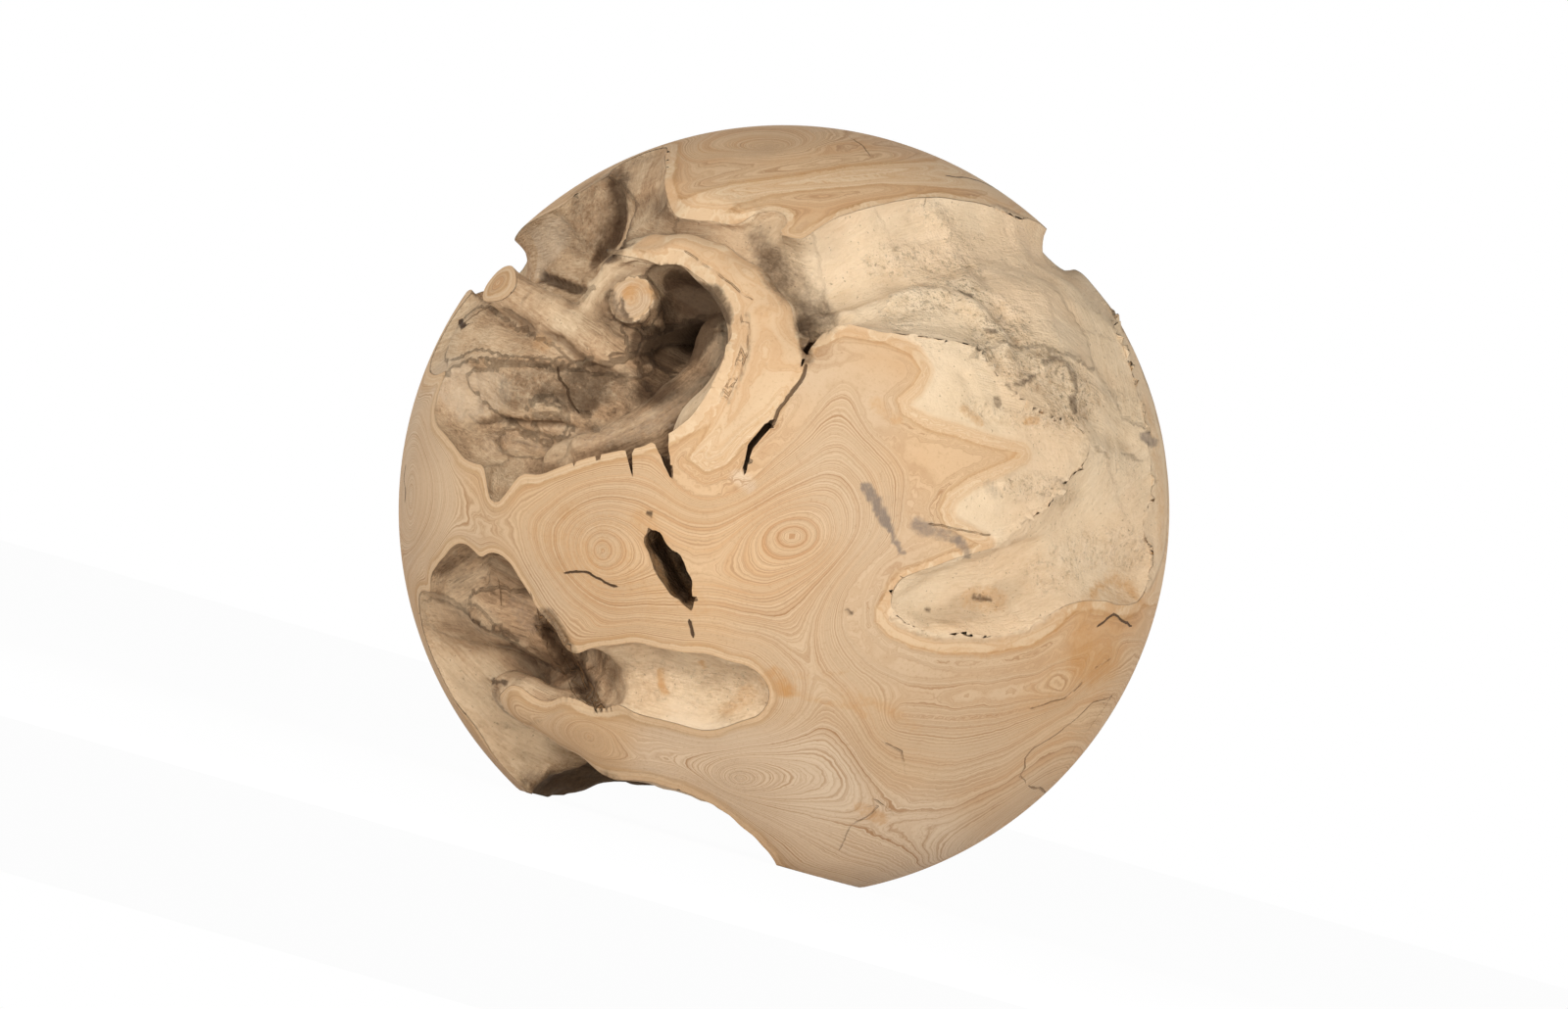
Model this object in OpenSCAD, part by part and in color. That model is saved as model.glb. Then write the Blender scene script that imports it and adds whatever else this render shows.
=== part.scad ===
// Ball turned from one clump of tree root.
//
// A round face is left wherever the clump filled the ball. Everywhere else the roots' own skin shows:
// valleys between them, a root that arches over a deep pit, and a broken hollow underneath.
// Every place on the ball is a heading from its centre: azimuth 0 is the front, positive to the
// right, and elevation is measured up from the ball's own equator. The ball then leans to the left
// until it stands on the rim of the hollow below.

/* [Ball] */
// Diameter that the clump is turned to
ball_d = 400; // [300:5:500]
// Lean to the left at which the ball comes to rest, in degrees
lean = 16; // [0:1:24]
// Diameter of the circle on the ball's face where the feet stand
foot_circle_d = 186; // [160:1:200]

/* [Hollow underneath] */
// Depth of the hollow underneath, measured from the ball's face
under_depth = 74; // [50:1:95]
// How far the feet reach in from the foot circle
foot_reach = 4; // [3:0.5:10]
// Width of the passage between the feet, at the floor
passage_w = 122; // [100:1:140]
// Height of the passage above the floor
passage_h = 24; // [12:1:34]
// How far the passage lies to the left of the middle
passage_offset = 14; // [0:1:24]

/* [Main hollow] */
// Depth of the main hollow
main_depth = 62; // [45:1:75]
// Half the width of the main hollow
main_r = 40; // [34:1:44]
// Depth of the pit at its upper end, under the arched root
pit_depth = 112; // [80:1:125]
// Half the width of the pit
pit_r = 28; // [22:1:31]
// How deep the shoulder above the main hollow lies
shoulder_depth = 34; // [24:1:40]
// Rounding of that shoulder
shoulder_r = 60; // [50:1:70]

/* [Upper hollows] */
// Depth of the cup at the upper left
cup_depth = 44; // [30:1:52]
// Half the width of the cup
cup_r = 34; // [28:1:38]
// Depth of the brown slope beside the cup
slope_depth = 12; // [8:1:18]
// Rounding of that slope
slope_r = 30; // [24:1:36]
// Depth of the long valley across the upper right
valley_depth = 32; // [22:1:40]
// Half the width of the valley
valley_r = 46; // [38:1:54]
// Depth of the shelf below the valley
shelf_depth = 12; // [8:1:18]
// Rounding of the shelf
shelf_r = 60; // [45:1:75]

/* [Right side] */
// Depth of the smooth skin on the right
skin_depth = 5; // [3:0.5:9]
// Rounding of that skin
skin_r = 60; // [45:1:75]
// Depth of the eye-shaped dish at the lower right
eye_depth = 18; // [12:1:26]
// Rounding of the dish where it opens out
eye_r = 60; // [48:1:72]

/* [Lower left] */
// Depth of the hollow at the lower left
left_depth = 50; // [36:1:58]
// Half the width of that hollow
left_r = 28; // [23:1:32]
// Depth of the shallow pocket beside it
pocket_depth = 16; // [10:1:22]
// Half the width of the pocket
pocket_r = 24; // [19:1:27]
// Depth of the break that runs down to the hollow underneath
break_depth = 62; // [45:1:72]
// Half the width of that break
break_r = 42; // [34:1:48]

/* [Roots] */
// Radius of the root that arches over the pit
arch_r = 22; // [17:0.5:25]
// Radius of the side root that joins the arch beside the knob
side_root_r = 10; // [6:0.5:13]
// Radius of the cut root at the left and the root it grows into
stub_r = 18; // [13:0.5:21]
// Radius of the swelling below the cut root
swelling_r = 44; // [36:0.5:48]
// Radius of the sawn face of the knob
knob_r = 12.5; // [9:0.5:15]
// Radius of the knob where it grows out of the pit's wall
knob_base_r = 18; // [16:0.5:22]
// Radius of the root like a finger at the lower left
finger_r = 28; // [22:0.5:32]
// Radius of the swelling behind the finger
lower_swelling_r = 24; // [18:0.5:28]

/* [Cracks] */
// Half the width of the open crack in the middle of the front
crack_r = 8.5; // [5:0.5:11]
// Depth of that crack
crack_depth = 36; // [20:1:50]
// Half the width of the gap between the arch and the ball's body
gap_r = 6; // [4:0.5:8]
// Depth of that gap
gap_depth = 40; // [28:1:48]
// Half the width of the split that runs on from the gap
split_r = 2; // [1.5:0.25:3]
// Depth of the split
split_depth = 16; // [8:1:24]

/* [Hidden] */

ball_r = ball_d / 2;
foot_circle_r = foot_circle_d / 2;
// Height of the ball's centre above the floor
centre_h = sqrt(ball_r * ball_r - foot_circle_r * foot_circle_r);
// Radius of the hollow's mouth, just inside the foot circle, and the angle it spans
mouth_r = foot_circle_r - foot_reach;
mouth_angle = asin(mouth_r / ball_r);
// Distance of the hollow's deepest point from the ball's centre
under_top = ball_r - under_depth;
// Radius of the sphere through the mouth and that deepest point
under_r = (under_top * under_top + ball_r * ball_r - 2 * ball_r * under_top * cos(mouth_angle))
    / (2 * (ball_r * cos(mouth_angle) - under_top));
// Radius of the passage's round roof
passage_r = (passage_w * passage_w / 4 + passage_h * passage_h) / (2 * passage_h);
// How far a cut runs out past the ball's face
past_face = 6;
ball_facets = 56;
// Facets of a sphere as big as the ball would be four times this
facet_share = 12.7;

// Paths of the hollows: azimuth, elevation, share of the depth, share of the radius
MAIN = [[-64, 18, 0.3, 0.5], [-53, 16, 0.42, 0.8], [-40, 15, 0.75, 0.85], [-25, 18, 1, 0.95],
    [-18, 21, 1, 0.95]];
CREASE = [[-54, 13, 0.5, 0.25], [-44, 12.5, 0.75, 0.3], [-34, 13, 0.92, 0.4]];
MAIN_CORNER = [[-46, 12, 0.6, 0.65], [-48, 3, 0.13, 0.15]];
PIT = [[-22, 28, 0.38, 0.9], [-17, 33, 1, 0.9]];
PIT_MOUTH = [[-22, 35, 0.42, 1], [-13, 31, 0.34, 0.95]];
SHOULDER = [[-80, 26, 0.1, 1], [-64, 31, 0.35, 0.85], [-48, 32, 0.7, 0.75], [-34, 31, 1, 0.7]];
CUP = [[-61, 58, 0.2, 0.35], [-58, 52, 0.7, 0.7], [-55, 44, 1, 1], [-76, 42, 0.7, 0.75], [-98, 39, 0.5, 0.6],
    [-115, 39, 0.15, 0.4]];
SLOPE = [[-66, 66, 0.35, 1], [-50, 58, 0.8, 0.95], [-38, 50, 1, 0.75], [-30, 48, 1, 0.4]];
STRIP = [[-28, 49, 0.8, 0.27], [-18, 48, 0.65, 0.27], [-10, 45, 1.5, 0.45]];
VALLEY = [[-10, 44, 0.6, 0.3], [-2, 39, 1, 0.5], [6, 36, 0.95, 0.55], [24, 42, 0.65, 0.9], [44, 45, 0.45, 1],
    [68, 43, 0.3, 0.65], [90, 43, 0.4, 0.25], [110, 42, 0.2, 0.3]];
VALLEY_FOOT = [[4, 32, 0.95, 0.4], [5, 27, 0.7, 0.17]];
SHELF = [[18, 33, 1, 0.45], [34, 33, 0.8, 0.65], [52, 32, 0.4, 1], [65, 26, 0.4, 1]];
SKIN = [[40, 22, 0.8, 0.65], [54, 18, 1, 1], [66, 13, 1, 1], [70, 24, 1, 1.2], [71, 35, 0.7, 1.3]];
EYE = [[20, -13, 0.35, 0.3], [26, -13, 0.85, 0.33], [36, -12, 1, 0.43], [48, -6, 0.65, 0.65],
    [58, 2, 0.45, 0.9], [68, 6, 0.3, 1]];
EYE_CORNER = [[52, -5, 0.5, 0.75], [70, -9, 0.3, 0.5]];
POCKET = [[-31, -25, 0.75, 0.65], [-24, -26, 1, 0.9], [-14, -28, 1, 1], [-8, -28, 0.75, 0.75]];
LEFT = [[-64, -13, 0.25, 0.65], [-57, -11, 0.4, 0.75], [-50, -17, 0.7, 0.95], [-46, -24, 0.8, 0.9],
    [-53, -27, 0.6, 0.85]];
LEFT_BANK = [[-49, -11, 0.4, 0.6], [-42, -20, 0.6, 0.65], [-36, -26, 0.5, 0.55], [-30, -26, 0.3, 0.55]];
LEFT_GROOVE = [[-41, -18, 0.65, 0.35], [-37, -25, 0.8, 0.4], [-34, -31, 0.6, 0.3]];
LEFT_EDGE = [[-72, -19, 0.3, 1], [-62, -26, 0.6, 1]];
BREAK = [[-72, -20, 0.2, 0.8], [-66, -34, 0.45, 0.85], [-58, -46, 0.75, 1], [-50, -54, 1, 1]];

// Paths of the roots: azimuth, elevation, how far the axis lies below the ball's face and the
// root's radius there, both as shares of the root's greatest radius
ARCH = [[-36, 46, 0.55, 0.3], [-31, 46, 0.3, 0.3], [-23, 45, 0.2, 0.4], [-15, 42, 0.25, 0.55],
    [-8, 37, 0.3, 0.7], [-4, 31, 0.35, 0.8], [-3, 25, 0.45, 0.9], [-5, 19, 0.65, 1], [-10, 12, 1.1, 1.2]];
SIDE_ROOT = [[-33, 46, 0.8, 0.6], [-38, 43, 1.6, 0.7], [-44, 39, 2.4, 0.8], [-47, 33, 3.2, 1]];
STUB = [[-70, 37, -0.65, 0.65], [-66, 36, 0.1, 0.6], [-52, 33, 1.1, 0.72], [-42, 30, 2, 0.85],
    [-35, 27, 2.9, 0.9]];
SWELLING = [[-74, 27, 0.68, 0.64], [-56, 25, 1.1, 0.8], [-42, 23, 1.75, 1], [-31, 20, 2.05, 1],
    [-24, 18, 2.25, 0.9]];
FINGER = [[-61, -30.5, 0.5, 0.43], [-54, -31.5, 0.3, 0.5], [-46, -35.5, 0.33, 0.55],
    [-38, -39, 0.43, 0.7], [-26, -43, 0.65, 1]];
LOWER_SWELLING = [[-80, -14, 1.05, 1], [-63, -17.5, 1.35, 0.85], [-54, -21, 1.6, 0.7], [-50, -26, 1.8, 0.6]];
// The knob's sawn face and its base: azimuth, elevation, share of the pit's depth
KNOB_FACE = [-33, 37, 0.17];
KNOB_BASE = [-40, 46, 0.6];

// Paths of the cracks: azimuth, elevation, share of the depth, share of the half width
CRACK = [[-20, -3, 0.8, 0.45], [-17.5, -8, 1, 1], [-14.5, -13, 0.8, 0.35]];
GAP = [[7, 29, 1, 1], [4, 24.5, 0.85, 0.5], [3, 21, 0.6, 0.25]];
SPLIT = [[3, 21, 1.5, 0.6], [0, 16, 1, 0.6], [-2.5, 12.5, 1, 1], [-5, 9.5, 1, 1], [-6, 5.5, 0.6, 0.75]];

// Unit vector from the ball's centre to a heading
function heading(azimuth, elevation) =
    [cos(elevation) * sin(azimuth), -cos(elevation) * cos(azimuth), sin(elevation)];

// Facets round a sphere, more for a bigger one
function facets(r) = min(32, max(12, 4 * round(facet_share * sqrt(r / ball_r))));

// Point at a row's heading, a distance below the ball's face
function below_face(row, distance) = (ball_r - distance) * heading(row[0], row[1]);

module blob(centre, r) {
    translate(centre)
        sphere(r = r, $fn = facets(r));
}

// A ball whose lowest point lies at the row's share of the hollow's depth
module scoop(row, depth, r) {
    blob(below_face(row, depth * row[2] - r * row[3]), r * row[3]);
}

// A valley: each scoop hulled to the next
module valley(path, depth, r) {
    for (i = [0 : len(path) - 2])
        hull() {
            scoop(path[i], depth, r);
            scoop(path[i + 1], depth, r);
        }
}

// A root: round lengths between the points of its axis
module root(path, r) {
    for (i = [0 : len(path) - 2])
        hull() {
            blob(below_face(path[i], r * path[i][2]), r * path[i][3]);
            blob(below_face(path[i + 1], r * path[i + 1][2]), r * path[i + 1][3]);
        }
}

// Both ends of one side of a crack: its floor, and past the ball's face
module crack_side(row, depth, r) {
    blob(below_face(row, depth * row[2] - r * row[3]), r * row[3]);
    blob(below_face(row, -past_face), r * row[3]);
}

module crack(path, depth, r) {
    for (i = [0 : len(path) - 2])
        hull() {
            crack_side(path[i], depth, r);
            crack_side(path[i + 1], depth, r);
        }
}

module ball() {
    sphere(r = ball_r, $fn = ball_facets);
}

module hollows() {
    valley(MAIN, main_depth, main_r);
    valley(CREASE, main_depth, main_r);
    valley(MAIN_CORNER, main_depth, main_r);
    valley(PIT, pit_depth, pit_r);
    valley(PIT_MOUTH, pit_depth, pit_r);
    valley(SHOULDER, shoulder_depth, shoulder_r);
    valley(CUP, cup_depth, cup_r);
    valley(SLOPE, slope_depth, slope_r);
    valley(STRIP, slope_depth, slope_r);
    valley(VALLEY, valley_depth, valley_r);
    valley(VALLEY_FOOT, valley_depth, valley_r);
    valley(SHELF, shelf_depth, shelf_r);
    valley(SKIN, skin_depth, skin_r);
    valley(EYE, eye_depth, eye_r);
    valley(EYE_CORNER, eye_depth, eye_r);
    valley(POCKET, pocket_depth, pocket_r);
    valley(LEFT, left_depth, left_r);
    valley(LEFT_BANK, left_depth, left_r);
    valley(LEFT_GROOVE, left_depth, left_r);
    valley(LEFT_EDGE, left_depth, left_r);
    valley(BREAK, break_depth, break_r);
}

module knob() {
    face = below_face(KNOB_FACE, pit_depth * KNOB_FACE[2]);
    base = below_face(KNOB_BASE, pit_depth * KNOB_BASE[2]);
    axis = base - face;
    turn = atan2(axis[1], axis[0]);
    tilt = acos(axis[2] / norm(axis));
    translate(face)
        rotate([0, tilt, turn])
            cylinder(h = norm(axis), r1 = knob_r, r2 = knob_base_r, $fn = facets(knob_base_r));
    blob(base, knob_base_r);
}

// What is left of the roots inside the hollows, cut off at the ball's face
module roots() {
    intersection() {
        ball();
        union() {
            root(ARCH, arch_r);
            root(SIDE_ROOT, side_root_r);
            root(STUB, stub_r);
            root(SWELLING, swelling_r);
            root(FINGER, finger_r);
            root(LOWER_SWELLING, lower_swelling_r);
            knob();
        }
    }
}

module cracks() {
    crack(CRACK, crack_depth, crack_r);
    crack(GAP, gap_depth, gap_r);
    crack(SPLIT, split_depth, split_r);
}

// The ball as it was turned, with its front upright
module turned_ball() {
    difference() {
        union() {
            difference() {
                ball();
                hollows();
            }
            roots();
        }
        cracks();
    }
}

// The broken hollow that the ball stands over, and the passage between its feet
module underside() {
    translate([0, 0, centre_h - under_top - under_r])
        sphere(r = under_r, $fn = ball_facets);
    translate([-passage_offset, 0, passage_h - passage_r])
        rotate([90, 0, 0])
            cylinder(h = 2 * ball_d, r = passage_r, center = true, $fn = ball_facets);
    // The floor cuts the feet flat
    translate([0, 0, -ball_r])
        cube([2 * ball_d, 2 * ball_d, ball_d], center = true);
}

module root_ball() {
    color("burlywood")
        difference() {
            translate([0, 0, centre_h])
                rotate([0, -lean, 0])
                    turned_ball();
            underside();
        }
}

root_ball();
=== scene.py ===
"""The wooden ball's looks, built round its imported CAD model.

The ball is turned from one clump of tree root. Its ground face shows growth rings, and wherever the
clump didn't fill the ball its hollows show the roots' own skin. Lengths in this file are in
millimetres, as in the part's source, and the finished mesh is in metres.
"""

import logging
from collections.abc import Callable
from dataclasses import dataclass, field
from enum import Enum

import bpy
import numpy as np
from mathutils import Matrix, Vector

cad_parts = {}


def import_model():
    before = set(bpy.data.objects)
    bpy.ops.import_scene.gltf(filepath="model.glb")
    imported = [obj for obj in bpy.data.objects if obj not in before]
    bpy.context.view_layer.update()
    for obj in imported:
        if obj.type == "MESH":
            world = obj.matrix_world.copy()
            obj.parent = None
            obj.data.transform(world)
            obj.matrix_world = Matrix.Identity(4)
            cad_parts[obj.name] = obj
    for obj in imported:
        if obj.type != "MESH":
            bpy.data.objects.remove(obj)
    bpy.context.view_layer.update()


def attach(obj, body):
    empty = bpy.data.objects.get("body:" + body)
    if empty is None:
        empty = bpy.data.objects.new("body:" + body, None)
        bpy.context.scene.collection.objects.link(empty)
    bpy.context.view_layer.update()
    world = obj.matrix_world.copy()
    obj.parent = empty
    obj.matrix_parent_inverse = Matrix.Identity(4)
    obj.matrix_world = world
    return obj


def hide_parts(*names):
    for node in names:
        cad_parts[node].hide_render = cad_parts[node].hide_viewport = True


LOG = logging.getLogger("root_ball")
# A millimetre in metres, the view's width in the drawing's units, and a distance past anything.
METRES = 0.001
FRAME_WIDTH = 1600
FURTHEST = 1e9

Array = np.ndarray
Rows = tuple[tuple[float, ...], ...]
Colour = tuple[float, float, float]
Socket = bpy.types.NodeSocket


# ---- Shapes as distances ----


def heading(azimuth: float, elevation: float) -> Array:
    """Unit vector from the ball's centre: azimuth from the front to the right, elevation upwards.

    Args:
        azimuth: Degrees from the front, positive to the right.
        elevation: Degrees above the ball's own equator.

    Returns:
        The vector (cos e sin a, -cos e cos a, sin e).
    """
    a, e = np.radians(azimuth), np.radians(elevation)
    return np.array([np.cos(e) * np.sin(a), -np.cos(e) * np.cos(a), np.sin(e)])


def places(rows: Array, radii: Array) -> Array:
    """Points along each row's azimuth and elevation, at each radius from the ball's centre."""
    return np.stack([radius * heading(row[0], row[1]) for radius, row in zip(radii, rows)])


def smooth_min(a: Array, b: Array, blend: Array | float) -> Array:
    """Smaller of two distances, with a fillet where they are within blend of each other.

    Args:
        a: First distance.
        b: Second distance.
        blend: Width of the fillet.

    Returns:
        min(a, b) - h² blend / 4, where h = max(blend - |a - b|, 0) / blend.
    """
    h = np.maximum(blend - np.abs(a - b), 0) / blend
    return np.minimum(a, b) - h * h * (0.25 * blend)


def smooth_max(a: Array, b: Array, blend: Array | float) -> Array:
    """Larger of two distances, with a fillet: the mirror of smooth_min."""
    return -smooth_min(-a, -b, blend)


def dot(a: Array, b: Array) -> Array:
    """Product of matching rows, added up over their columns."""
    return np.einsum("ij,ij->i", a, b)


def length(vectors: Array) -> Array:
    """Length of each row: the square root of the sum of its squares."""
    return np.sqrt(dot(vectors, vectors))


def eased(share: Array) -> Array:
    """Ease in and out: 3s² - 2s³ of a share s held between 0 and 1."""
    s = np.clip(share, 0, 1)
    return s * s * (3 - 2 * s)


def held(move: Array, most: Array) -> Array:
    """Each move, cut short where it is longer than the most allowed there."""
    size = length(move)[:, None] + 1e-9
    return move * np.minimum(1, most[:, None] / size)


def strides(side: int) -> Array:
    """Steps between neighbours in a flattened cubic lattice with that many points a side."""
    return np.array([side * side, side, 1])


def scatter(corner: Array, seed: int) -> Array:
    """A steady value from -1 to 1 for each lattice corner, from the bits of its whole numbers.

    Args:
        corner: Lattice corners, one row of three whole numbers each.
        seed: Picks one pattern.

    Returns:
        One value per corner.
    """
    c = corner.astype(np.int64).astype(np.uint32)
    h = c[:, 0] * np.uint32(73856093) ^ c[:, 1] * np.uint32(19349663)
    h = h ^ c[:, 2] * np.uint32(83492791) ^ np.uint32(seed * 2654435 + 97)
    h = (h ^ (h >> np.uint32(15))) * np.uint32(2246822519)
    h = (h ^ (h >> np.uint32(13))) * np.uint32(3266489917)
    return ((h >> np.uint32(8)).astype(np.float32) / np.float32(1 << 23)) - np.float32(1)


def lumps(points: Array, size: float, seed: int) -> Array:
    """Smooth random lumps: corner values of a lattice, blended by the fade 6f⁵ - 15f⁴ + 10f³.

    Args:
        points: One row each.
        size: Spacing of the lattice.
        seed: Picks one pattern.

    Returns:
        Values from -1 to 1.
    """
    q = points / np.float32(size)
    base = np.floor(q)
    f = q - base
    f = f * f * f * (f * (f * 6 - 15) + 10)
    total = np.zeros(len(points), np.float32)
    for x in (0, 1):
        for y in (0, 1):
            for z in (0, 1):
                share = f[:, 0] if x else 1 - f[:, 0]
                share = share * (f[:, 1] if y else 1 - f[:, 1])
                share = share * (f[:, 2] if z else 1 - f[:, 2])
                total += share * scatter(base + np.array([x, y, z], np.float32), seed)
    return total


@dataclass(frozen=True)
class Chain:
    """Balls along a path, each wrapped to the next by a cone: a hollow, or a root."""

    name: str
    centres: Array
    radii: Array
    blend: float = 3.0

    def cone(self, points: Array, first: int) -> Array:
        """Distance from one wrapped pair of balls.

        Along the axis t and out from it w, the side is w c + t s - r, where s is the drop in
        radius over the length and c² + s² = 1. Past the side's ends the two balls take over.

        Args:
            points: One row each.
            first: Number of the pair's first ball.

        Returns:
            Distance to the surface, negative inside.
        """
        a, b = self.centres[first], self.centres[first + 1]
        ra, rb = float(self.radii[first]), float(self.radii[first + 1])
        if ra < rb:
            a, b, ra, rb = b, a, rb, ra
        axis = b - a
        span = float(np.sqrt(axis @ axis))
        offset = points - a.astype(np.float32)
        square = dot(offset, offset)
        side2 = span * span - (ra - rb) ** 2
        if side2 < 1e-6:
            return np.sqrt(square) - np.float32(ra)
        t = offset @ (axis / span).astype(np.float32)
        w = np.sqrt(np.maximum(square - t * t, 0))
        c, s = np.float32(np.sqrt(side2) / span), np.float32((ra - rb) / span)
        along = t * c - w * s
        side = w * c + t * s - np.float32(ra)
        near = np.sqrt(square) - np.float32(ra)
        far = np.sqrt(w * w + (t - np.float32(span)) ** 2) - np.float32(rb)
        return np.where(along < 0, near, np.where(along > np.float32(np.sqrt(side2)), far, side))

    def distance(self, points: Array) -> Array:
        """Distance from the whole chain: the smooth least of its wrapped pairs.

        Args:
            points: One row each.

        Returns:
            Distances, negative inside.
        """
        total = self.cone(points, 0)
        for first in range(1, len(self.centres) - 1):
            total = smooth_min(total, self.cone(points, first), self.blend)
        return total

    def box(self, margin: float = 0.0) -> tuple[Array, Array]:
        """Lowest and highest corners of the box round its balls, with a margin.

        Args:
            margin: How far the box stands off them.

        Returns:
            The two corners.
        """
        low = (self.centres - self.radii[:, None]).min(0) - margin
        high = (self.centres + self.radii[:, None]).max(0) + margin
        return low, high

    def grain(self, points: Array) -> Array:
        """Coordinates that follow the chain: length along it, then across and out from its axis.

        Args:
            points: One row each.

        Returns:
            (u, v, w): u is the arc length of the nearest point of the axis; v and w are the offset
            from it across the ball's face and away from the ball's centre.
        """
        best = np.full(len(points), FURTHEST, np.float32)
        found = np.zeros((len(points), 3), np.float32)
        start = 0.0
        for a, b in zip(self.centres[:-1], self.centres[1:]):
            axis = b - a
            span = float(np.sqrt(axis @ axis)) + 1e-6
            unit = axis / span
            t = np.clip((points - a) @ unit, 0, span)
            foot = a + t[:, None] * unit
            offset = points - foot
            gap = length(offset)
            out = foot / (length(foot)[:, None] + 1e-6)
            across = np.cross(np.broadcast_to(unit, out.shape), out)
            across /= length(across)[:, None] + 1e-6
            here = np.stack([start + t, dot(offset, across), dot(offset, out)], 1)
            nearer = gap < best
            best = np.where(nearer, gap, best)
            found = np.where(nearer[:, None], here, found)
            start += span
        return found.astype(np.float32)


@dataclass(frozen=True)
class Cut:
    """A crack: a sheet of some thickness between a floor line and a line past the ball's face."""

    floor: Array
    mouth: Array
    halves: Array

    def distance(self, points: Array) -> Array:
        """Distance from the sheet, less its half thickness there.

        Each length of the crack is a flat four-sided sheet. Its distance is the height over the
        sheet where the point's foot falls inside, and the least distance to an edge elsewhere.

        Args:
            points: One row each.

        Returns:
            Distance to the crack's wall, negative inside the crack.
        """
        total = np.full(len(points), FURTHEST, np.float32)
        for n in range(len(self.floor) - 1):
            corners = [self.floor[n], self.mouth[n], self.mouth[n + 1], self.floor[n + 1]]
            corners = [c.astype(np.float32) for c in corners]
            normal = np.cross(corners[1] - corners[0], corners[3] - corners[0])
            normal = (normal / np.linalg.norm(normal)).astype(np.float32)
            inside = np.ones(len(points), bool)
            least = np.full(len(points), FURTHEST, np.float32)
            for m in range(4):
                a, edge = corners[m], corners[(m + 1) % 4] - corners[m]
                offset = points - a
                share = np.clip((offset @ edge) / float(edge @ edge), 0, 1)
                gap = offset - share[:, None] * edge
                least = np.minimum(least, dot(gap, gap))
                inside &= (offset @ np.cross(normal, edge)) >= 0
            height = ((points - corners[0]) @ normal) ** 2
            edge = corners[3] - corners[0]
            share = np.clip(((points - corners[0]) @ edge) / float(edge @ edge), 0, 1)
            half = self.halves[n] + (self.halves[n + 1] - self.halves[n]) * share
            total = np.minimum(total, np.sqrt(np.where(inside, height, least)) - half)
        return total


# ---- The clump of roots ----


@dataclass(frozen=True)
class Skin:
    """How the roots' own skin looks along one hollow or root."""

    tone: float = 0.2
    furrows: float = 0.5
    lumps: float = 1.0
    second_set: bool = False


@dataclass(frozen=True)
class Strand:
    """One hollow or root of the clump, with its skin."""

    chain: Chain
    skin: Skin


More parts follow.
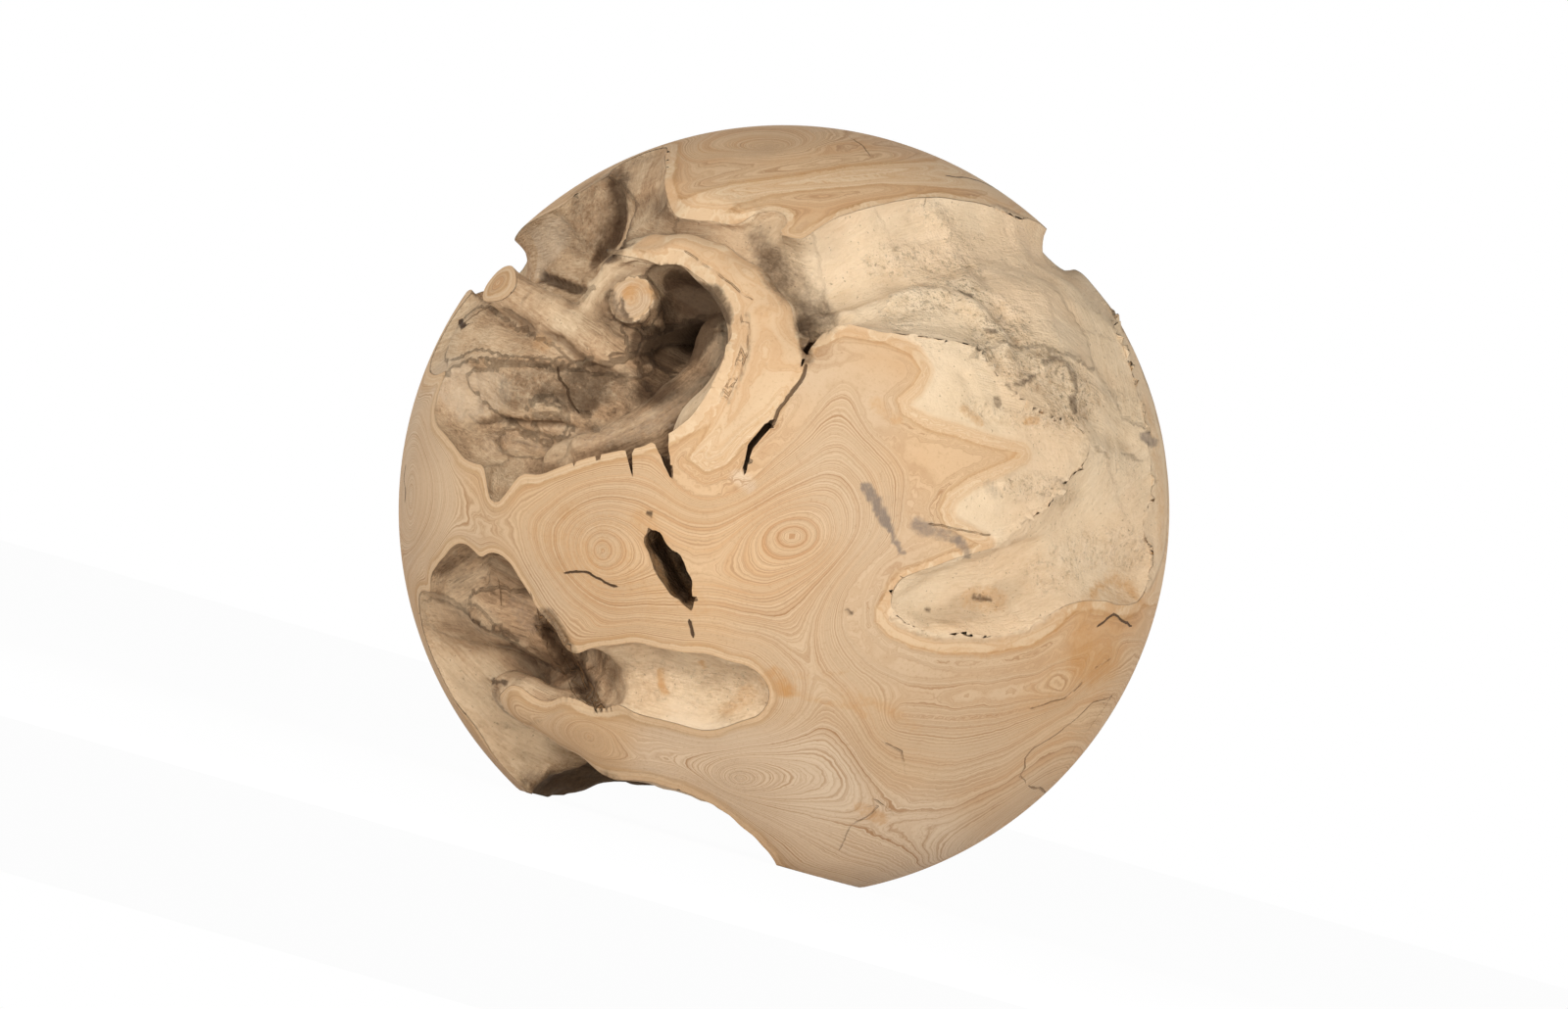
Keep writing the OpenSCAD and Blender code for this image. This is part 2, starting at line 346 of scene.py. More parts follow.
@dataclass(frozen=True)
class Clump:
    """The turned clump of roots: the same sizes and paths as the part's source.

    A row of a hollow's path is azimuth, elevation, share of the depth and share of the radius. A row
    of a root's path is azimuth, elevation, how deep its axis lies and its radius, both as shares of
    the root's greatest radius.
    """

    ball_r: float = 200.0
    face_r: float = 199.6
    lean: float = 16.0
    foot_circle_r: float = 93.0
    foot_reach: float = 4.0
    under_depth: float = 74.0
    passage_w: float = 122.0
    passage_h: float = 24.0
    passage_offset: float = 14.0
    past_face: float = 6.0
    hollow_blend: float = 3.0
    open_blend: float = 12.0
    root_blend: float = 7.0
    pit_depth: float = 112.0
    knob_r: float = 12.5
    knob_base_r: float = 18.0
    knob_face: tuple[float, float, float] = (-33, 37, 0.17)
    knob_base: tuple[float, float, float] = (-40, 46, 0.6)

    @property
    def centre_height(self) -> float:
        """Height of the ball's centre above the floor: the root of R² less the foot circle's r²."""
        return float(np.sqrt(self.ball_r**2 - self.foot_circle_r**2))

    @property
    def down(self) -> Array:
        """Unit vector that points down once the ball has leaned over to rest."""
        lean = np.radians(self.lean)
        return np.array([-np.sin(lean), 0, -np.cos(lean)])

    @property
    def level(self) -> Array:
        """Unit vector that points level to the right once the ball has leaned over."""
        lean = np.radians(self.lean)
        return np.array([np.cos(lean), 0, -np.sin(lean)])

    def hollow(self, name: str, depth: float, radius: float, rows: Rows, skin: Skin) -> Strand:
        """A hollow: each ball's lowest point lies at its share of the depth below the ball's face.

        Args:
            name: Its name.
            depth: Its greatest depth below the face.
            radius: Its greatest radius.
            rows: Its path.
            skin: Its skin.

        Returns:
            The hollow.
        """
        table = np.array(rows, float)
        radii = radius * table[:, 3]
        below = self.ball_r - (depth * table[:, 2] - radii)
        return Strand(Chain(name, places(table, below), radii), skin)

    def root(self, name: str, radius: float, rows: Rows, skin: Skin) -> Strand:
        """A root: each ball's centre lies at its share of the radius below the ball's face.

        Args:
            name: Its name.
            radius: Its greatest radius.
            rows: Its path.
            skin: Its skin.

        Returns:
            The root.
        """
        table = np.array(rows, float)
        below = self.ball_r - radius * table[:, 2]
        return Strand(Chain(name, places(table, below), radius * table[:, 3]), skin)

    def crack(self, depth: float, half: float, rows: Rows) -> Cut:
        """A crack: from its floor to past the ball's face, each row with its own half width.

        Args:
            depth: Its greatest depth below the face.
            half: Its greatest half width.
            rows: Its path.

        Returns:
            The crack.
        """
        table = np.array(rows, float)
        halves = half * table[:, 3]
        below = self.ball_r - (depth * table[:, 2] - halves)
        past = np.full(len(table), self.ball_r + self.past_face)
        return Cut(places(table, below), places(table, past), halves)

    def hollows(self) -> list[Strand]:
        """Every hollow of the clump, from the upper left round to the lower left.

        Returns:
            The hollows, in the order in which they are joined.
        """
        h = self.hollow
        floor = Skin(0.5, 0.65, 0.3)
        # the pit's skin tone is past the darkest one, near black: painted shade of the deep pit
        pit = Skin(1.15, 0.6, 0.8)
        cream = Skin(0.1, 0.3, 0.9)
        smooth = Skin(0.2, 0.1, 0.4, True)
        left = Skin(0.64, 0.7, 0.25)
        return [
            h("main", 62, 40, ((-64, 18, 0.3, 0.5), (-53, 16, 0.42, 0.8), (-40, 15, 0.75, 0.85),
                (-25, 18, 1, 0.95), (-18, 21, 1, 0.95)), floor),
            h("crease", 62, 40, ((-54, 13, 0.5, 0.25), (-44, 12.5, 0.75, 0.3), (-34, 13, 0.92, 0.4)),
                floor),
            h("main corner", 62, 40, ((-46, 12, 0.6, 0.65), (-48, 3, 0.13, 0.15)), Skin(0.3, 1.2, 0.8)),
            h("pit", 112, 28, ((-22, 28, 0.38, 0.9), (-17, 33, 1, 0.9)), pit),
            # dark tone at the pit's mouth: painted shade
            h("pit mouth", 112, 28, ((-22, 35, 0.42, 1), (-13, 31, 0.34, 0.95)), Skin(0.8, 0.7, 0.8)),
            h("shoulder", 34, 60, ((-80, 26, 0.1, 1), (-64, 31, 0.35, 0.85), (-48, 32, 0.7, 0.75),
                (-34, 31, 1, 0.7)), Skin(0.35, 0.5, 0.5)),
            h("cup", 44, 34, ((-61, 58, 0.2, 0.35), (-58, 52, 0.7, 0.7), (-55, 44, 1, 1),
                (-76, 42, 0.7, 0.75), (-98, 39, 0.5, 0.6), (-115, 39, 0.15, 0.4)), Skin(0.42, 0.1, 0.05,
                True)),
            h("slope", 12, 30, ((-66, 66, 0.35, 1), (-50, 58, 0.8, 0.95), (-38, 50, 1, 0.75),
                (-30, 48, 1, 0.4)), Skin(0.46, 0.8, 0.7, True)),
            h("strip", 12, 30, ((-28, 49, 0.8, 0.27), (-18, 48, 0.65, 0.27), (-10, 45, 1.5, 0.45),
                (-3, 48, 0.8, 0.3)), Skin(0.25, 0.5, 0.6, True)),
            h("valley", 32, 46, ((-10, 44, 0.6, 0.3), (-2, 39, 1, 0.5), (6, 36, 0.95, 0.55),
                (24, 42, 0.65, 0.9), (44, 45, 0.45, 1), (68, 43, 0.3, 0.65), (90, 43, 0.4, 0.25),
                (110, 42, 0.2, 0.3)), cream),
            h("valley foot", 32, 46, ((4, 32, 0.95, 0.4), (5, 27, 0.7, 0.17)), cream),
            h("shelf", 12, 60, ((18, 33, 1, 0.45), (34, 33, 0.8, 0.65), (52, 32, 0.4, 1), (65, 26, 0.4, 1)),
                Skin(0.12, 0.3, 0.9, True)),
            h("skin", 5, 60, ((40, 22, 0.8, 0.65), (54, 18, 1, 1), (66, 13, 1, 1), (70, 24, 1, 1.2),
                (71, 35, 0.7, 1.3), (92, 37, 0.75, 1.2)), smooth),
            h("eye", 18, 60, ((20, -13, 0.35, 0.3), (26, -13, 0.85, 0.33), (36, -12, 1, 0.43),
                (48, -6, 0.65, 0.65), (58, 2, 0.45, 0.9), (68, 6, 0.3, 1)), Skin(0.16, 0.2, 0.6)),
            h("eye corner", 18, 60, ((52, -5, 0.5, 0.75), (70, -9, 0.3, 0.5)), Skin(0.16, 0.3, 0.8, True)),
            h("pocket", 16, 24, ((-31, -25, 0.75, 0.65), (-24, -26, 1, 0.9), (-14, -28, 1, 1),
                (-8, -28, 0.75, 0.75)), Skin(0.27, 0.5, 1.3, True)),
            h("left", 50, 28, ((-64, -13, 0.25, 0.65), (-57, -11, 0.4, 0.75), (-50, -17, 0.7, 0.95),
                (-46, -24, 0.8, 0.9), (-53, -27, 0.6, 0.85)), left),
            h("left bank", 50, 28, ((-49, -11, 0.4, 0.6), (-42, -20, 0.6, 0.65), (-38, -26, 0.5, 0.5),
                (-34, -28, 0.3, 0.35)), Skin(0.5, 1.2, 0.3)),
            h("left groove", 50, 28, ((-41, -18, 0.6, 0.35), (-38, -23.5, 0.5, 0.4),
                (-35.5, -28.5, 0.34, 0.32)), Skin(0.36, 0.9, 0.3)),
            h("left edge", 50, 28, ((-72, -19, 0.3, 1), (-62, -26, 0.6, 1)), Skin(0.32, 0.6, 0.7)),
            h("break", 62, 42, ((-72, -20, 0.2, 0.8), (-66, -34, 0.45, 0.85), (-58, -46, 0.75, 1),
                (-50, -54, 1, 1)), Skin(0.27, 0.7, 0.9, True)),
        ]

    def roots(self) -> list[Strand]:
        """Every root that stands in a hollow.

        Returns:
            The roots, in the order in which they are joined.
        """
        r = self.root
        return [
            r("arch", 22, ((-36, 46, 0.55, 0.3), (-31, 46, 0.3, 0.3), (-23, 45, 0.2, 0.4),
                (-15, 42, 0.25, 0.55), (-8, 37, 0.3, 0.7), (-4, 31, 0.35, 0.8), (-3, 25, 0.45, 0.9),
                (-5, 19, 0.65, 1), (-10, 12, 1.1, 1.2)), Skin(0.14, 0.4, 0.4, True)),
            r("side root", 10, ((-33, 46, 0.8, 0.6), (-38, 43, 1.6, 0.7), (-44, 39, 2.4, 0.8),
                (-47, 33, 3.2, 1)), Skin(0.16, 0.6, 0.5, True)),
            r("inner wall", 22, ((-13, 34, 2.1, 0.7), (-12.5, 30, 2.15, 0.85), (-15, 24, 2.25, 0.9),
                (-19.5, 19, 2.2, 0.9), (-24, 15, 2.05, 0.85), (-30, 12, 1.85, 0.72), (-37, 9.5, 1.65, 0.55),
                (-45, 8, 1.45, 0.35)), Skin(0.56, 0.3, 0.3, True)),
            r("stub", 18, ((-70, 37, -0.65, 0.65), (-66, 36, 0.1, 0.6), (-52, 33, 1.1, 0.72),
                (-42, 30, 2, 0.85), (-35, 27, 2.9, 0.9)), Skin(0.4, 1.1, 0.6)),
            r("swelling", 44, ((-74, 27, 0.68, 0.64), (-56, 25, 1.1, 0.8), (-42, 23, 1.75, 1),
                (-31, 20, 2.05, 1), (-24, 18, 2.25, 0.9)), Skin(0.36, 0.6, 0.35)),
            r("finger", 28, ((-61, -30.5, 0.5, 0.43), (-54, -31.5, 0.3, 0.5), (-46, -35.5, 0.33, 0.55),
                (-38, -39, 0.43, 0.7), (-26, -43, 0.65, 1)), Skin(0.2, 0.6, 0.6)),
            r("lower swelling", 24, ((-80, -14, 1.05, 1), (-63, -17.5, 1.35, 0.85), (-54, -21, 1.6, 0.7),
                (-50, -26, 1.8, 0.6)), Skin(0.6, 0.6, 0.25)),
        ]

    def cracks(self) -> list[Cut]:
        """The open cracks, and the gap and split beside the arched root.

        Returns:
            The cracks.
        """
        return [
            self.crack(36, 8.5, ((-20.4, -2.6, 0.5, 0.06), (-19.6, -4.6, 0.9, 0.65), (-17.6, -8, 1, 0.95),
                (-16, -11, 1, 0.88), (-14.8, -13.4, 0.8, 0.35), (-14.3, -14.6, 0.5, 0.08))),
            self.crack(40, 6, ((6.2, 29, 1, 0.8), (3.6, 24.5, 0.8, 0.3), (2.7, 21.5, 0.3, 0.12))),
            self.crack(16, 1.7, ((-1.6, 13.6, 0.6, 0.5), (-2.5, 12.5, 1, 1), (-5, 9.5, 1, 1),
                (-6, 5.5, 0.6, 0.7))),
            self.crack(11, 1.4, ((-24, 10, 1, 1.8), (-23, 5, 0.5, 0.3))),
            self.crack(12, 2.4, ((-18.5, 10, 1, 1.6), (-17, 4.5, 0.5, 0.15))),
        ]


class Wood:
    """Distances to the clump's surfaces, in the ball's own frame, with its centre at the origin."""

    FAR = 26.0
    WAVE = 1.1
    WAVE_SIZE = 24.0
    WAVE_REACH = 12.0
    RIPPLE = 0.45
    RIPPLE_SIZE = 10.0
    CRUMB = 1.0
    CRUMB_SIZE = 6.5
    UNDER_BLEND = 5.0
    KNOB_EDGE = 0.6
    OPEN_RIGHT = (8, 30)
    OPEN_BELOW = (30, 50)

    def __init__(self, clump: Clump) -> None:
        """Builds every chain and crack of the clump once.

        Args:
            clump: Sizes and paths of the turned clump.
        """
        self.clump = clump
        self.hollow_strands = clump.hollows()
        self.root_strands = clump.roots()
        self.cuts = clump.cracks()
        mouth = np.arcsin((clump.foot_circle_r - clump.foot_reach) / clump.ball_r)
        self.under_top = clump.ball_r - clump.under_depth
        top, ball = self.under_top, clump.ball_r
        rim = ball * np.cos(mouth)
        self.under_r = (top * top + ball * ball - 2 * ball * top * np.cos(mouth)) / (2 * (rim - top))
        self.passage_r = (clump.passage_w**2 / 4 + clump.passage_h**2) / (2 * clump.passage_h)

    def near(self, points: Array, chain: Chain) -> Array:
        """A chain's distance, worked out only near it: further off a ball round it stands in.

        Args:
            points: One row each.
            chain: The chain.

        Returns:
            The distance, or a smaller one that is still over FAR.
        """
        low, high = chain.box()
        outside = np.maximum(np.maximum(low - points, points - high), 0).astype(np.float32)
        total = length(outside)
        close = total < self.FAR
        total[~close] = np.maximum(total[~close], self.FAR)
        if close.any():
            total[close] = chain.distance(points[close])
        return total

    def under(self, points: Array) -> Array:
        """Distance from the hollow underneath, joined to the passage between the feet.

        The hollow is a sphere and the passage a level cylinder, with a fillet between them.

        Args:
            points: One row each.

        Returns:
            Distances, negative inside.
        """
        clump = self.clump
        offset = points - ((self.under_top + self.under_r) * clump.down).astype(np.float32)
        dome = length(offset) - np.float32(self.under_r)
        across = points @ clump.level.astype(np.float32) + np.float32(clump.passage_offset)
        height = np.float32(clump.centre_height) - points @ clump.down.astype(np.float32)
        drop = height - np.float32(clump.passage_h - self.passage_r)
        tunnel = np.sqrt(across * across + drop * drop) - np.float32(self.passage_r)
        return smooth_min(dome, tunnel, self.UNDER_BLEND)

    def knob_ends(self) -> tuple[Array, Array]:
        """Middle of the knob's sawn face, and of its base.

        Returns:
            The two places.
        """
        clump = self.clump
        face = (clump.ball_r - clump.pit_depth * clump.knob_face[2]) * heading(*clump.knob_face[:2])
        base = (clump.ball_r - clump.pit_depth * clump.knob_base[2]) * heading(*clump.knob_base[:2])
        return face, base

    def knob_cut(self, points: Array) -> tuple[Array, Array]:
        """Height over the knob's sawn face, and distance from its middle.

        Args:
            points: One row each.

        Returns:
            The heights, and the distances.
        """
        face, base = self.knob_ends()
        axis = (face - base) / np.linalg.norm(face - base)
        offset = points - face.astype(np.float32)
        return offset @ axis.astype(np.float32), length(offset)

    def knob(self, points: Array) -> Array:
        """Distance from the knob: a cone between two balls, cut off flat at its sawn face.

        Args:
            points: One row each.

        Returns:
            Distances, negative inside.
        """
        radii = np.array([self.clump.knob_r, self.clump.knob_base_r])
        chain = Chain("knob", np.stack(self.knob_ends()), radii)
        plane = self.knob_cut(points)[0]
        return smooth_max(chain.distance(points), plane, self.KNOB_EDGE)

    def bark(self, points: Array) -> Array:
        """Distance from the roots' own skin, with its waves: negative in the wood.

        The wood is whatever the hollows leave, with the roots added in them by fillets, less the
        hollow underneath. The hollows' own fillets widen to the right and below.

        Args:
            points: One row each.

        Returns:
            Distances, negative in the wood.
        """
        hollow = self.near(points, self.hollow_strands[0].chain)
        (right, right_band), (below, below_band) = self.OPEN_RIGHT, self.OPEN_BELOW
        soft = np.maximum((points[:, 0] - right) / right_band, (-points[:, 2] - below) / below_band)
        soft = np.clip(soft, 0, 1)
        blend = self.clump.hollow_blend + (self.clump.open_blend - self.clump.hollow_blend) * soft
        for strand in self.hollow_strands[1:]:
            hollow = smooth_min(hollow, self.near(points, strand.chain), blend)
        root = self.knob(points)
        for strand in self.root_strands:
            root = smooth_min(root, self.near(points, strand.chain), self.clump.hollow_blend)
        total = smooth_min(-hollow, root, self.clump.root_blend)
        total = smooth_max(total, -self.under(points), self.clump.root_blend)
        close = np.abs(total) < self.WAVE_REACH
        spot = points[close]
        wave, ripple = lumps(spot, self.WAVE_SIZE, 1), lumps(spot, self.RIPPLE_SIZE, 2)
        total[close] += self.WAVE * wave + self.RIPPLE * ripple
        return total

    def skin(self, points: Array) -> Array:
        """Distance from the skin and the walls of its cracks, crumbly where a crack is wide.

        Args:
            points: One row each.

        Returns:
            Distances, negative in the wood.
        """
        total = self.bark(points)
        crumbs = self.CRUMB * lumps(points, self.CRUMB_SIZE, 18)
        for cut in self.cuts:
            rough = np.clip(cut.halves.max() / 6, 0.15, 1)
            total = np.maximum(total, -cut.distance(points) - crumbs * rough)
        return total

    def face(self, points: Array) -> Array:
        """Distance from the turned face and from the floor that the feet stand on.

        Args:
            points: One row each.

        Returns:
            Distances, negative inside.
        """
        ball = length(points) - np.float32(self.clump.face_r)
        floor = points @ self.clump.down.astype(np.float32) - np.float32(self.clump.centre_height)
        return np.maximum(ball, floor)

    def whole(self, points: Array) -> Array:
        """Distance from the finished wood: the larger of skin and face."""
        return np.maximum(self.skin(points), self.face(points))

    def slope(self, points: Array, field_of: Callable[[Array], Array], reach: float = 0.3) -> Array:
        """Gradient of a distance, from its values at the four corners of a small tetrahedron.

        Args:
            points: One row each.
            field_of: Gives the distance at each point.
            reach: How far off the corners are.

        Returns:
            One gradient a point.
        """
        total = np.zeros_like(points)
        for corner in ((1, -1, -1), (-1, -1, 1), (-1, 1, -1), (1, 1, 1)):
            step = np.array(corner, np.float32)
            total += step * field_of(points + step * np.float32(reach))[:, None]
        return total / np.float32(4 * reach)


# ---- From distances to a closed mesh ----

CORNERS = np.array([(x, y, z) for x in (0, 1) for y in (0, 1) for z in (0, 1)])
EDGES = np.array([
    (a, b) for a in range(8) for b in range(a + 1, 8) if np.abs(CORNERS[a] - CORNERS[b]).sum() == 1
])
CELL_FACES = np.array([
    [a for a in range(8) if CORNERS[a][axis] == end] for axis in range(3) for end in (0, 1)
])


@dataclass(frozen=True)
class Lattice:
    """A cubic lattice drawn out from a focus: fine near it and coarser away from it."""

    focus: tuple[float, float, float] = (-60.0, -150.0, 70.0)
    spacing: float = 1.96
    growth: float = 0.0077
    blocks: int = 31
    per_block: int = 4

    @property
    def cells(self) -> int:
        """Cells along one side of the lattice."""
        return 2 * self.blocks * self.per_block

    def place(self, index: Array) -> Array:
        """Where lattice points lie.

        A point s cells from the middle lies (spacing / growth)(e^(growth s) - 1) from the focus, in
        the same direction.

        Args:
            index: Numbers along the three sides, one row each.

        Returns:
            Points in millimetres.
        """
        offset = index.astype(np.float32) - np.float32(self.cells / 2)
        s = length(offset)
        ratio = np.float32(self.spacing / self.growth) * np.expm1(np.float32(self.growth) * s)
        ratio = np.where(s > 0, ratio / np.maximum(s, 1e-6), self.spacing)
        return (np.array(self.focus, np.float32) + offset * ratio[:, None]).astype(np.float32)

    def step(self, points: Array) -> Array:
        """Spacing of the lattice near points: spacing + growth times the distance to the focus."""
        away = length(points - np.array(self.focus, np.float32))
        return self.spacing + self.growth * away


@dataclass
class Shell:
    """The wood's closed surface: triangles, and which of their corners lie on which surface."""

    points: Array
    triangles: Array
    on_face: Array
    on_rim: Array
    face_triangles: Array


class Carver:
    """Finds the surface where a distance is nil, as one closed shell with crisp rims."""

    CHUNK = 250_000
    REPAIRS = 60
    OPENED = 0.05
    OUTSIDE = 100
    SOFTEST = 0.05
    SHARPEST = 0.02
    RIM_GAP = 0.06
    STRIDE = 0.6
    ROOM = 0.9
    RIM_STRIDE = 0.8
    RIM_ROOM = 1.15

    def __init__(self, wood: Wood, lattice: Lattice) -> None:
        """Keeps the distances and the lattice that they are taken on."""
        self.wood = wood
        self.lattice = lattice

    def in_chunks(self, points: Array, field_of: Callable[[Array], Array]) -> Array:
        """A distance over many points, a part at a time to save memory."""
        parts = [field_of(points[n : n + self.CHUNK]) for n in range(0, len(points), self.CHUNK)]
        return np.concatenate(parts)

    def sample(self) -> tuple[Array, Array]:
        """Distances at every lattice point near the surface, and only their sign elsewhere.

        Each block of cells is tried at its middle first. A block whose middle is further from the
        surface than its own corners can't hold any of it.

        Returns:
            The skin's and the face's distances on the whole lattice.
        """
        lattice, wood = self.lattice, self.wood
        count, per = 2 * lattice.blocks, lattice.per_block
        middles = np.stack(np.meshgrid(*[np.arange(count)] * 3, indexing="ij"), -1).reshape(-1, 3)
        points = lattice.place((middles + 0.5) * per)
        near = length(points) < wood.clump.ball_r + 40
        value = np.full(len(points), self.OUTSIDE, np.float32)
        value[near] = self.in_chunks(points[near], wood.whole)
        half = 0.5 * np.sqrt(3) * per * lattice.step(points) * 1.25 + 2.5
        live = (np.abs(value) < half).reshape(count, count, count)
        sign = np.where(value < 0, np.float32(-self.OUTSIDE), np.float32(self.OUTSIDE))
        sign = sign.reshape(count, count, count)
        side = lattice.cells + 1
        skin = np.full((side, side, side), self.OUTSIDE, np.float32)
        inner = slice(0, side - 1)
        skin[inner, inner, inner] = sign.repeat(per, 0).repeat(per, 1).repeat(per, 2)
        flags = np.zeros((side, side, side), bool)
        flags[inner, inner, inner] = live.repeat(per, 0).repeat(per, 1).repeat(per, 2)
        flags[1:] |= flags[:-1].copy()
        flags[:, 1:] |= flags[:, :-1].copy()
        flags[:, :, 1:] |= flags[:, :, :-1].copy()
        face = skin.copy()
        index = np.argwhere(flags)
        points = lattice.place(index)
        LOG.info("carving: %d lattice points in %d blocks", len(points), int(live.sum()))
        skin[flags] = self.in_chunks(points, wood.skin)
        face[flags] = self.in_chunks(points, wood.face)
        return skin, face

    @staticmethod
    def joined(group: set[int]) -> bool:
        """Whether some corners of a cell hang together along its edges.

        Args:
            group: The corners' numbers.

        Returns:
            True if they hang together.
        """
        reached, waiting = set(), [min(group)]
        while waiting:
            corner = waiting.pop()
            reached.add(corner)
            ends = EDGES[(EDGES == corner).any(1)].reshape(-1)
            waiting += [int(end) for end in ends if int(end) in group - reached]
        return reached == group

    @classmethod
    def plain_splits(cls) -> Array:
        """Which of the 256 ways to split a cell's corners give one sheet.

        In those no face of the cell is crossed twice, and each side of the sheet is one part.

        Returns:
            One flag for each way, numbered by the bits of the corners inside.
        """
        plain = np.ones(256, bool)
        for code in range(256):
            inside = [bool(code >> c & 1) for c in range(8)]
            for face in CELL_FACES:
                a, b, c, d = (inside[f] for f in face)
                if a == d and b == c and a != b:
                    plain[code] = False
            for wanted in (True, False):
                group = {c for c in range(8) if inside[c] == wanted}
                if group and not cls.joined(group):
                    plain[code] = False
        return plain

    def open_up(self, value: Array) -> Array:
        """Opens the few cells that would hold two sheets, so that the shell stays closed.

        The inside corner nearest to the surface goes outside, in each of them, until none is left.

        Args:
            value: The wood's distance on the lattice, changed in place.

        Returns:
            Flat numbers of the cells that hold the surface.
        """
        plain = self.plain_splits()
        side = value.shape[0]
        steps = CORNERS @ strides(side)
        flat = value.reshape(-1)
        for _ in range(self.REPAIRS):
            inside = value < 0
            some = np.zeros((side - 1,) * 3, bool)
            every = np.ones((side - 1,) * 3, bool)
            for x, y, z in CORNERS:
                part = inside[x : x + side - 1, y : y + side - 1, z : z + side - 1]
                some |= part
                every &= part
            cells = np.argwhere(some & ~every) @ strides(side)
            corner = flat[cells[:, None] + steps]
            code = ((corner < 0) * (1 << np.arange(8))).sum(1)
            bad = ~plain[code]
            if not bad.any():
                break
            worst = np.where(corner[bad] < 0, -corner[bad], np.float32(FURTHEST)).argmin(1)
            flat[cells[bad] + steps[worst]] = np.float32(self.OPENED)
        LOG.info("carving: %d cells, %d of them still crossed", len(cells), int(bad.sum()))
        return cells

    def settle(self, points: Array, ready: Array) -> tuple[Array, Array, Array]:
        """Moves points onto the surface, and those of cells that hold a rim onto the rim.

        A step to the surface is the distance times its gradient over the gradient's square. A step
        to a rim solves both distances at once with the shortest move.

        Args:
            points: One per cell.
            ready: Whether both the skin's and the face's distance change sign in the cell.

        Returns:
            The points, whether each lies on the face, and whether each lies on a rim.
        """
        wood = self.wood
        step = self.lattice.step(points)
        start = points.copy()
        for _ in range(3):
            value = self.in_chunks(points, wood.whole)
            slope = self.in_chunks(points, lambda p: wood.slope(p, wood.whole))
            move = -value[:, None] * slope / (dot(slope, slope)[:, None] + self.SOFTEST)
            points = points + held(move, self.STRIDE * step)
        points = start + held(points - start, self.ROOM * step)
        rim = np.zeros(len(points), bool)
        which = np.flatnonzero(ready)
        spot = start[which].copy()
        for _ in range(4):
            a, b = wood.skin(spot), wood.face(spot)
            ga, gb = wood.slope(spot, wood.skin), wood.slope(spot, wood.face)
            aa, bb, ab = dot(ga, ga), dot(gb, gb), dot(ga, gb)
            spread = np.maximum(aa * bb - ab * ab, self.SHARPEST)
            share_a = (bb * a - ab * b) / spread
            share_b = (aa * b - ab * a) / spread
            move = -(share_a[:, None] * ga + share_b[:, None] * gb)
            spot = spot + held(move, self.RIM_STRIDE * step[which])
        left = np.maximum(np.abs(wood.skin(spot)), np.abs(wood.face(spot)))
        good = (length(spot - start[which]) < self.RIM_ROOM * step[which]) & (left < self.RIM_GAP)
        points[which[good]] = spot[good]
        rim[which[good]] = True
        on_face = self.in_chunks(points, wood.face) >= self.in_chunks(points, wood.skin)
        return points.astype(np.float32), on_face, rim

    def quads(self, value: Array, cells: Array) -> Array:
        """Four-sided faces, one round each lattice edge whose ends lie on either side of the surface.

        Args:
            value: The wood's distance on the lattice.
            cells: Flat numbers of the cells that hold the surface, in rising order.

        Returns:
            Rows of four positions in cells, turned so that they face out of the wood.
        """
        side = value.shape[0]
        jumps = strides(side)
        inside = value < 0
        found = []
        for axis in range(3):
            first = [slice(0, side)] * 3
            second = [slice(0, side)] * 3
            first[axis], second[axis] = slice(0, side - 1), slice(1, side)
            a, b = inside[tuple(first)], inside[tuple(second)]
            edge = np.argwhere(a != b)
            leaves = a[tuple(edge.T)]
            base = edge @ jumps
            u, v = jumps[(axis + 1) % 3], jumps[(axis + 2) % 3]
            ring = np.stack([base - u - v, base - v, base, base - u], 1)
            ring[~leaves] = ring[~leaves][:, ::-1]
            found.append(ring)
        return np.searchsorted(cells, np.concatenate(found))

    @staticmethod
    def split(quads: Array, points: Array, rim: Array) -> Array:
        """Two triangles a quad, along the diagonal that follows a rim, or else the shorter one.

        Args:
            quads: Rows of four numbers of points.
            points: One row each.
            rim: Whether each point lies on a rim.

        Returns:
            Rows of three numbers of points.
        """
        a, b, c, d = quads.T
        first = length(points[a] - points[c])
        second = length(points[b] - points[d])
        along_first = rim[a] & rim[c] & ~(rim[b] & rim[d])
        along_second = rim[b] & rim[d] & ~(rim[a] & rim[c])
        use_first = np.where(along_first, True, np.where(along_second, False, first <= second))
        one = np.where(use_first[:, None], np.stack([a, b, c], 1), np.stack([a, b, d], 1))
        two = np.where(use_first[:, None], np.stack([a, c, d], 1), np.stack([b, c, d], 1))
        return np.concatenate([one, two])

    @staticmethod
    def largest(points: Array, triangles: Array) -> Array:
        """Which triangles are in the largest joined part: the least label spreads along edges.

        Args:
            points: One row each.
            triangles: Rows of three numbers of points.

        Returns:
            One flag a triangle.
        """
        label = np.arange(len(points))
        a = triangles.reshape(-1)
        b = triangles[:, [1, 2, 0]].reshape(-1)
        while True:
            least = np.minimum(label[a], label[b])
            after = label.copy()
            np.minimum.at(after, a, least)
            np.minimum.at(after, b, least)
            after = after[after]
            if (after == label).all():
                break
            label = after
        main = np.bincount(label[triangles[:, 0]]).argmax()
        return label[triangles[:, 0]] == main

